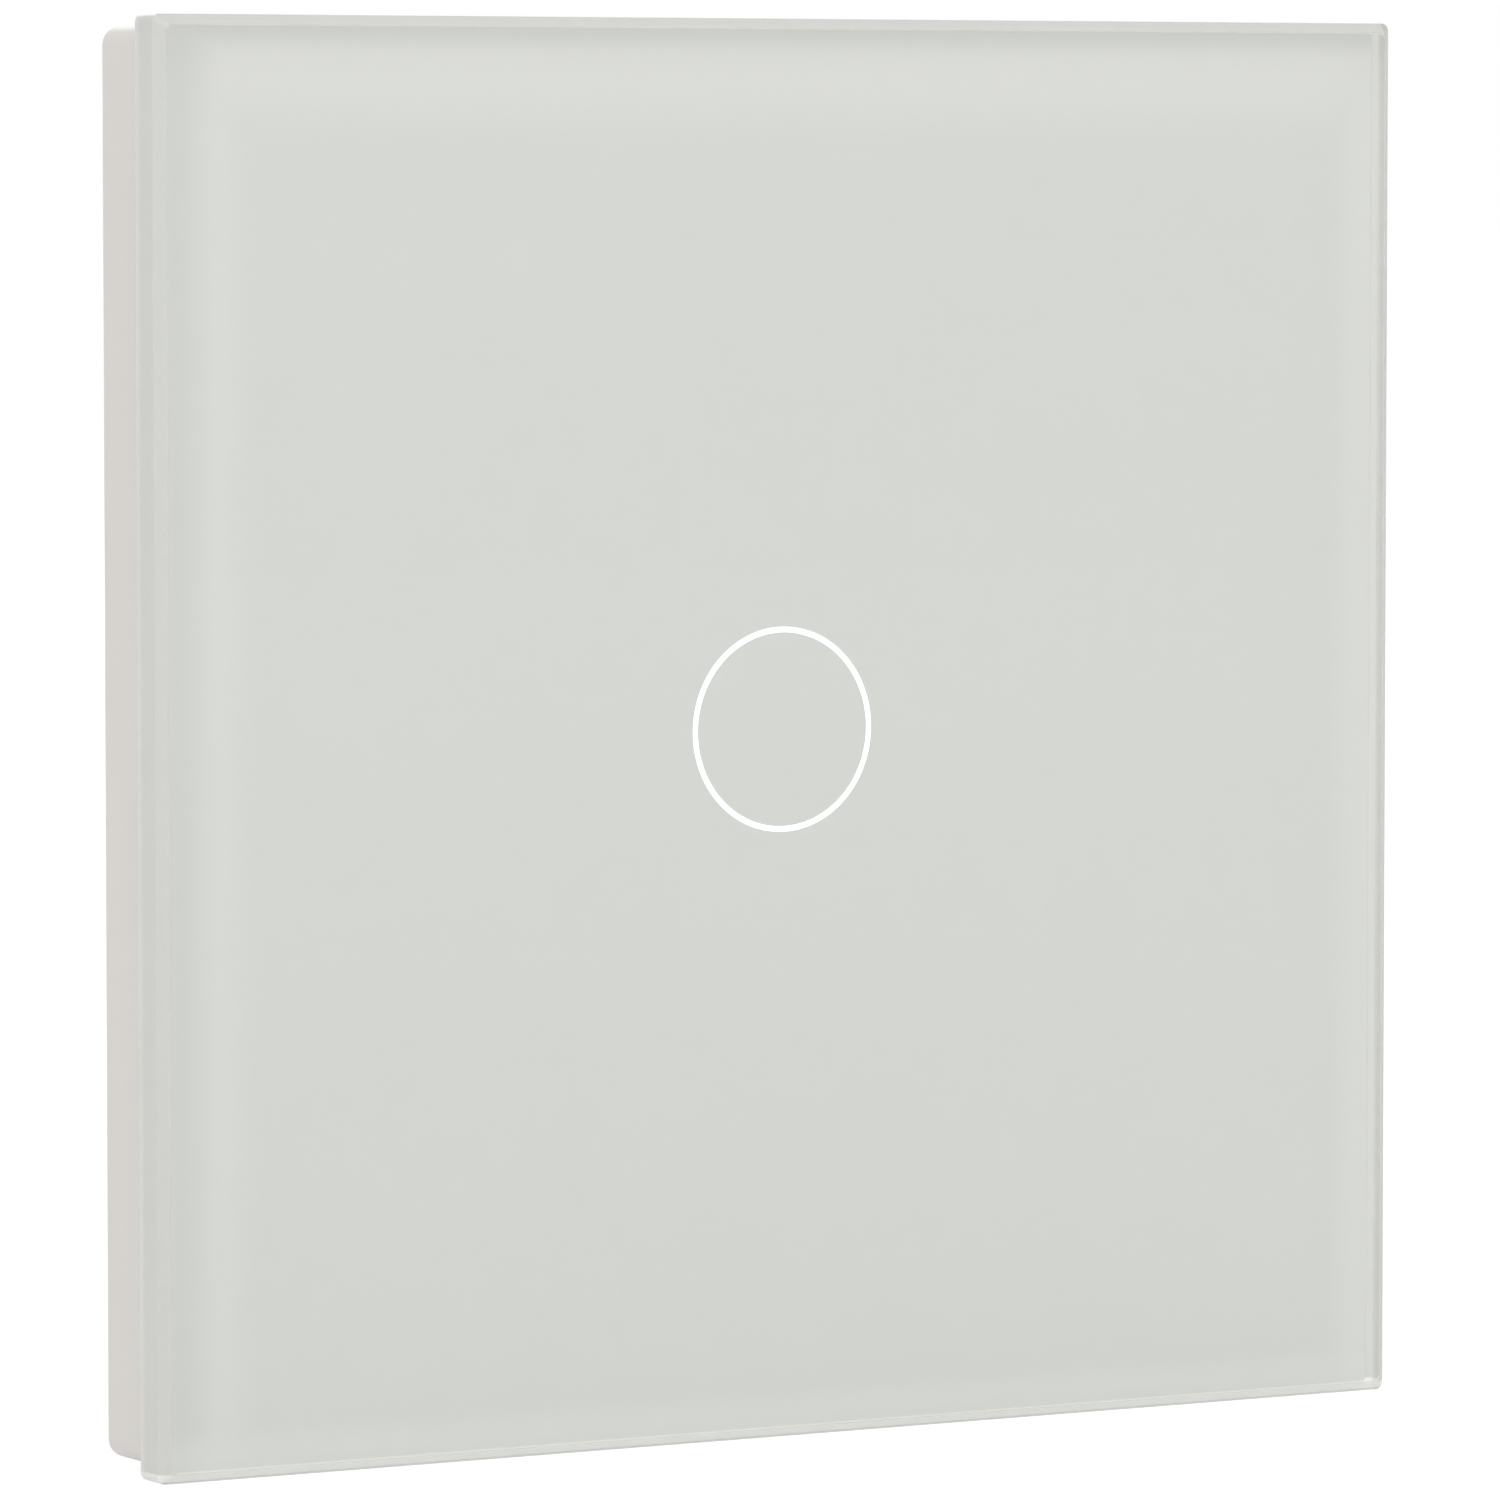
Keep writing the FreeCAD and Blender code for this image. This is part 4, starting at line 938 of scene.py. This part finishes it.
def make_print():
    low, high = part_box("printed_backing")
    ring_low, ring_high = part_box("ring_window")
    sizes = settings().glass
    outer = (ring_high.x - ring_low.x) / 2 - sizes.ring_inset
    inner = outer - sizes.ring_line
    seam = 0.01 * MM
    shared = {"Thickness": high.y - low.y, "Back": high.y - PRINT_SINK}
    sheet = grow("printed_sheet", sheet_form(), "white_print", Side=high.x - low.x,
                 Corner_radius=sizes.corner_radius / 2, Hole_radius=outer + seam,
                 Disc_radius=inner - seam, **shared)
    stand_in(sheet, "printed_backing")
    ring = grow("lit_ring", ring_form(), "ring_ink", Outer_radius=outer, Inner_radius=inner, **shared)
    stand_in(ring, "ring_window")


def make_softened(node, name, edge, segments=2):
    """A softened copy of a node in the node's own finish."""
    stand_in(softened(node, name, edge, segments), node)


def make_spring():
    low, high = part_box("touch_spring")
    sizes = settings().metal
    wire = sizes.spring_wire / 2
    spring = grow("touch_spring_wire", spring_form(), "spring_steel", Radius=high.x - wire,
                  Wire_radius=wire, Rise=high.y - low.y - 2 * wire, Turns=sizes.spring_turns,
                  Start=high.y - wire)
    stand_in(spring, "touch_spring")


def row_of(name, mesh, count, start, step, finish):
    """A row of copies of a small mesh as one piece; places are in metres."""
    return grow(name, row_form(), finish, mesh, Count=count, Start=start, Step=step)


def board_row(name, mesh, row, y, level, finish):
    """One of the touch board's rows of copies, at a depth in metres and a level in millimetres."""
    start = (row["first"] * MM, y, level * MM)
    return row_of(name, mesh, row["count"], start, (row["step"] * MM, 0.0, 0.0), finish)


def places(row):
    """Where the parts of a row stand along X, in millimetres."""
    return [row["first"] + row["step"] * place for place in range(row["count"])]


def tracks(name, paths, width):
    """Flat copper strips on the board's front along paths of (x, z) points in millimetres."""
    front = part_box("touch_board")[0].y
    points = [(x * MM, front, z * MM) for path in paths for x, z in path]
    edges = []
    first = 0
    for path in paths:
        edges += [(index, index + 1) for index in range(first, first + len(path) - 1)]
        first += len(path)
    mesh = bpy.data.meshes.new(name)
    mesh.from_pydata(points, edges, [])
    return grow(name, path_form(), "masked_copper", mesh, Width=width, Thickness=TRACK_THICKNESS * 2,
                Corner=TRACK_CORNER)


def track_paths():
    """Where the copper runs: from the header to the chip, on to the resistors and to the lamps."""
    legs, resistors = places(LEG_ROW), places(RESISTOR_ROW)
    upper_pad, lower_pad = RESISTOR_LEVELS
    paths = []
    for lane, (pin, leg) in enumerate(zip(reversed(places(PIN_ROW)), legs)):
        side, turn = 17.0 + 0.8 * lane, -4.6 - 0.8 * lane
        paths.append([(pin, PIN_LEVEL), (pin, side), (side, side), (side, turn), (leg, turn), (leg, -9.0)])
    paths.append([(legs[0], -15.0), (legs[0], -16.0), (8.9, -16.0), (resistors[0], upper_pad)])
    for lane, leg in enumerate(legs[1:]):
        low = -19.4 - 0.8 * lane
        end = resistors[lane + 1]
        paths.append([(leg, -15.0), (leg, low), (end, low), (end, lower_pad)])
    for place in resistors[1:]:
        paths.append([(place, upper_pad), (place, -11.5), (place * 1.25, -9.6)])
    return paths


def make_tracks():
    """The copper under the mask, a guard ring round the light guide and a border."""
    guard_radius, guard_steps, edge = 8.6, 48, 23.3
    turns = [2 * math.pi * step / guard_steps for step in range(1, guard_steps - 1)]
    guard = [(guard_radius * math.cos(turn), guard_radius * math.sin(turn)) for turn in turns]
    border = [(0.0, edge), (edge, edge), (edge, -edge), (-edge, -edge), (-edge, edge), (-1.0, edge)]
    pieces = [tracks("signal_tracks", track_paths(), 0.35 * MM), tracks("guard_ring", [guard], 0.8 * MM),
              tracks("border_track", [border], 0.9 * MM)]
    add_detail("touch_board_tracks", pieces, "masked_copper")


def make_solder():
    """Solder cones on the header's pins, pads and fillets under the chip's legs, and vias."""
    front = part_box("touch_board")[0].y
    cone = turned("cone", [(0.0, 0.0), (0.85, 0.0), (0.6, 0.14), (0.44, 0.36), (0.36, 0.62), (0.0, 0.7)])
    fillet = pressed("fillet", [(0.0, -0.55), (0.1, -0.5), (0.12, 0.4), (0.0, 0.6)], 0.6)
    via = turned("via", [(0.16, 0.0), (0.38, 0.0), (0.36, 0.05), (0.18, 0.05)], 16)
    pieces = [board_row("pin_joints", cone, PIN_ROW, front, PIN_LEVEL, "solder")]
    for level in LEG_LEVELS:
        pieces.append(board_row("fillets", fillet, LEG_ROW, front, level, "solder"))
    for column in VIA_COLUMNS:
        start = (column * MM, front, FIRST_VIA * MM)
        pieces.append(row_of("vias", via, VIA_COUNT, start, (0.0, 0.0, VIA_STEP * MM), "solder"))
    for level in RESISTOR_LEVELS:
        pieces.append(board_row("pads", fillet, RESISTOR_ROW, front, level, "solder"))
    add_detail("touch_board_solder", pieces, "solder")


def make_chip_legs():
    """Gull-wing legs along both long sides of the chip."""
    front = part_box("touch_board")[0].y
    low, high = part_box("touch_chip")
    leg = [(0.6, -0.1), (0.78, -0.1), (0.78, 0.42), (0.2, 0.62), (0.2, 1.1), (0.03, 1.1), (0.03, 0.5),
           (0.6, 0.3)]
    pieces = []
    for edge, way in ((high.z, 1.0), (low.z, -1.0)):
        mesh = pressed("leg", [(up, out * way) for up, out in leg], 0.42)
        pieces.append(board_row("legs", mesh, LEG_ROW, front, edge / MM, "tinned_wire"))
    add_detail("touch_chip_legs", pieces, "tinned_wire")


def make_end_caps():
    """Silver caps over both ends of each resistor."""
    low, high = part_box("touch_resistors")
    skin, cap, width = 0.02, 0.3, 0.8
    depth = (high.y - low.y) / MM + skin
    section = [(0.0, -cap / 2), (depth, -cap / 2), (depth, cap / 2), (0.0, cap / 2)]
    mesh = pressed("cap", section, width + 2 * skin)
    inwards = cap / 2 - skin
    pieces = [board_row("caps", mesh, RESISTOR_ROW, high.y, level, "tinned_wire")
              for level in (high.z / MM - inwards, low.z / MM + inwards)]
    add_detail("resistor_end_caps", pieces, "tinned_wire")


def make_lamp_lenses():
    """Phosphor windows in the faces of the small lamps."""
    lens = turned("lens", [(0.0, 0.0), (0.3, 0.0), (0.26, 0.03), (0.0, 0.05)])
    lenses = grow("lenses", circle_form(), "lamp_phosphor", lens, Count=LAMP_COUNT, Radius=LAMP_RADIUS,
                  First_turn=math.pi / LAMP_COUNT, Depth=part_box("ring_leds")[0].y)
    add_detail("lamp_lenses", [lenses], "lamp_phosphor")


def make_power_box():
    """The housing, with ejector marks and a shallow bare panel sunk into its rear face."""
    sizes = settings().plastic
    box = softened("power_box", "power_box_moulding", sizes.box_edge)
    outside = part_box("power_box")[1].y - RAISED_MARKS + CUTTER_HEIGHT
    panel = grow("panel_cutter", panel_form(), "box_plastic", Width=26 * MM, Height=15 * MM,
                 Corner_radius=1.5 * MM, Thickness=CUTTER_HEIGHT,
                 Centre=(0.0, outside - sizes.panel_depth, 7.0 * MM))
    mark = turned("mark", [(0.0, 0.0), (1.6, 0.0), (1.6, CUTTER_HEIGHT / MM), (0.0, CUTTER_HEIGHT / MM)], 32)
    marks = [row_of("mark_row", mark, 2, (-18.0 * MM, outside - sizes.mark_depth, level * MM),
                    (36.0 * MM, 0.0, 0.0), "box_plastic") for level in (-6.0, 7.0)]
    carve(box, joined("box_cutters", [panel] + marks))
    stand_in(box, "power_box")


def dress_carried_nodes():
    """Gives every node that still shows the finish of its slot."""
    for node, piece in frame["nodes"].items():
        material = finish_of(SLOT_OF_NODE[node])
        if not piece.data.materials:
            piece.data.materials.append(material)
        for place in piece.material_slots:
            place.material = material


# Stage

def make_floor():
    """A pale floor that reaches past the view, white to the camera but for the object's shadow."""
    finish = Finish("pale floor")
    grain = finish.noise(0.004, 2.0)
    pale = finish.node("ShaderNodeBsdfDiffuse", {}, finish.mix(grain, (0.88, 0.88, 0.88), (0.9, 0.9, 0.9)))
    white = finish.node("ShaderNodeEmission", {}, WHITE, FLOOR_WHITE)
    above = finish.blend(finish.seen() * FLOOR_GLOW, pale, white)
    below = finish.node("ShaderNodeBsdfTransparent")
    underside = finish.node("ShaderNodeNewGeometry").output("Backfacing")
    material = finish.close(finish.blend(underside, above, below))
    level = CAD_BOUNDS[0].z - FLOOR_CLEARANCE
    corners = [(x * FLOOR_REACH, y * FLOOR_REACH, level) for x, y in ((-1, -1), (1, -1), (1, 1), (-1, 1))]
    mesh = bpy.data.meshes.new("floor")
    mesh.from_pydata(corners, [], [(0, 1, 2, 3)])
    mesh.materials.append(material)
    new_piece("floor", mesh)


def make_world():
    world = bpy.data.worlds.new("soft light")
    bpy.context.scene.world = world
    world.use_nodes = True
    net = Net(world.node_tree)
    net.tree.nodes.clear()
    soft = net.node("ShaderNodeBackground", {}, WHITE, settings().stage.ambient)
    white = net.node("ShaderNodeBackground", {}, WHITE, 1.0)
    both = net.node("ShaderNodeMixShader", {}, net.seen(), soft, white)
    net.end("ShaderNodeOutputWorld", "Surface", both)


def make_holder(name, data, place, back):
    """Puts a lamp or camera in its place, looking away from where back points."""
    holder = bpy.data.objects.new(name, data)
    holder.location = place
    holder.rotation_mode = "QUATERNION"
    holder.rotation_quaternion = (-back).to_track_quat("-Z", "Y")
    bpy.context.scene.collection.objects.link(holder)
    return holder


def make_lamp(name, place, width, share, mirrored):
    """A square soft lamp that points at the object, and shows in glossy surfaces if it is mirrored."""
    lamp = bpy.data.lights.new(name, "AREA")
    lamp.size = width
    lamp.energy = settings().stage.lamp_power * share
    make_holder(name, lamp, place, Vector(place)).visible_glossy = mirrored


def make_camera():
    stage = settings().stage
    back = Vector((
        math.sin(stage.azimuth) * math.cos(stage.elevation),
        -math.cos(stage.azimuth) * math.cos(stage.elevation),
        math.sin(stage.elevation),
    ))
    data = bpy.data.cameras.new("camera")
    data.sensor_width = SENSOR_WIDTH
    data.lens = stage.focal_pixels * SENSOR_WIDTH / IMAGE_SIDE
    bpy.context.scene.camera = make_holder("camera", data, CAMERA_AIM + back * stage.distance, back)


# Operators

class SWITCH_OT_glass(bpy.types.Operator):
    """Build the bevelled glass plate with its print and lit ring"""
    bl_idname = "light_switch.glass"
    bl_label = "Glass plate and print"

    def execute(self, context):
        make_glass()
        make_print()
        return {"FINISHED"}


class SWITCH_OT_cover_frame(bpy.types.Operator):
    """Build the plastic frame behind the glass"""
    bl_idname = "light_switch.cover_frame"
    bl_label = "Cover frame"

    def execute(self, context):
        make_softened("cover_frame", "cover_frame_moulding", settings().plastic.frame_edge, 3)
        return {"FINISHED"}


class SWITCH_OT_mounting_plate(bpy.types.Operator):
    """Build the pressed steel plate"""
    bl_idname = "light_switch.mounting_plate"
    bl_label = "Mounting plate"

    def execute(self, context):
        make_softened("mounting_plate", "mounting_plate_pressing", settings().metal.plate_edge)
        return {"FINISHED"}


class SWITCH_OT_module(bpy.types.Operator):
    """Build the tray in front of the plate"""
    bl_idname = "light_switch.module"
    bl_label = "Module tray"

    def execute(self, context):
        make_softened("module_frame", "module_tray_moulding", settings().plastic.tray_edge)
        return {"FINISHED"}


class SWITCH_OT_touch_board(bpy.types.Operator):
    """Build the copper, solder, chip legs and lamp faces on the touch board"""
    bl_idname = "light_switch.touch_board"
    bl_label = "Touch board details"

    def execute(self, context):
        make_tracks()
        make_solder()
        make_chip_legs()
        make_end_caps()
        make_lamp_lenses()
        return {"FINISHED"}


class SWITCH_OT_touch_spring(bpy.types.Operator):
    """Build the sprung electrode that meets the glass"""
    bl_idname = "light_switch.touch_spring"
    bl_label = "Touch spring"

    def execute(self, context):
        make_spring()
        return {"FINISHED"}


class SWITCH_OT_power_box(bpy.types.Operator):
    """Build the housing that goes into the wall box"""
    bl_idname = "light_switch.power_box"
    bl_label = "Power box"

    def execute(self, context):
        make_power_box()
        return {"FINISHED"}


class SWITCH_OT_terminals(bpy.types.Operator):
    """Build the terminal screws and clamps"""
    bl_idname = "light_switch.terminals"
    bl_label = "Terminals"

    def execute(self, context):
        for side in ("line", "load"):
            make_softened(side + "_screw", side + "_terminal_screw", settings().metal.screw_edge)
            make_softened(side + "_clamp", side + "_terminal_clamp", settings().metal.plate_edge)
        return {"FINISHED"}


class SWITCH_OT_carried_nodes(bpy.types.Operator):
    """Give the remaining parts their finishes"""
    bl_idname = "light_switch.carried_nodes"
    bl_label = "Inner parts"

    def execute(self, context):
        dress_carried_nodes()
        return {"FINISHED"}


class SWITCH_OT_stage(bpy.types.Operator):
    """Build the floor, the soft light and the camera"""
    bl_idname = "light_switch.stage"
    bl_label = "Floor, light and camera"

    def execute(self, context):
        make_floor()
        make_world()
        for name, facts in LAMPS.items():
            make_lamp(name, *facts)
        make_camera()
        context.scene.view_settings.view_transform = "Standard"
        return {"FINISHED"}


OPERATORS = [
    SWITCH_OT_glass, SWITCH_OT_cover_frame, SWITCH_OT_mounting_plate, SWITCH_OT_module,
    SWITCH_OT_touch_board, SWITCH_OT_touch_spring, SWITCH_OT_power_box, SWITCH_OT_terminals,
    SWITCH_OT_carried_nodes, SWITCH_OT_stage,
]


class SWITCH_PT_panel(bpy.types.Panel):
    """The switch's sizes and colours, and a button for each group of pieces"""
    bl_idname = "SWITCH_PT_panel"
    bl_label = "Light switch"
    bl_space_type = "VIEW_3D"
    bl_region_type = "UI"
    bl_category = "Light switch"

    def draw(self, context):
        for name in SwitchSettings.__annotations__:
            group = getattr(settings(), name)
            box = self.layout.box()
            for size in group.__annotations__:
                box.prop(group, size)
        for operator in OPERATORS:
            self.layout.operator(operator.bl_idname)


CLASSES = [
    GlassSizes, MetalSizes, PlasticSizes, Colours, StageSettings, SwitchSettings, *OPERATORS,
    SWITCH_PT_panel,
]


def register():
    for kind in CLASSES:
        bpy.utils.register_class(kind)
    bpy.types.Scene.light_switch = PointerProperty(type=SwitchSettings)


def unregister():
    del bpy.types.Scene.light_switch
    for kind in reversed(CLASSES):
        bpy.utils.unregister_class(kind)


def main():
    register()
    for operator in OPERATORS:
        group, name = operator.bl_idname.split(".")
        getattr(getattr(bpy.ops, group), name)()


if __name__ == "__main__":
    main()
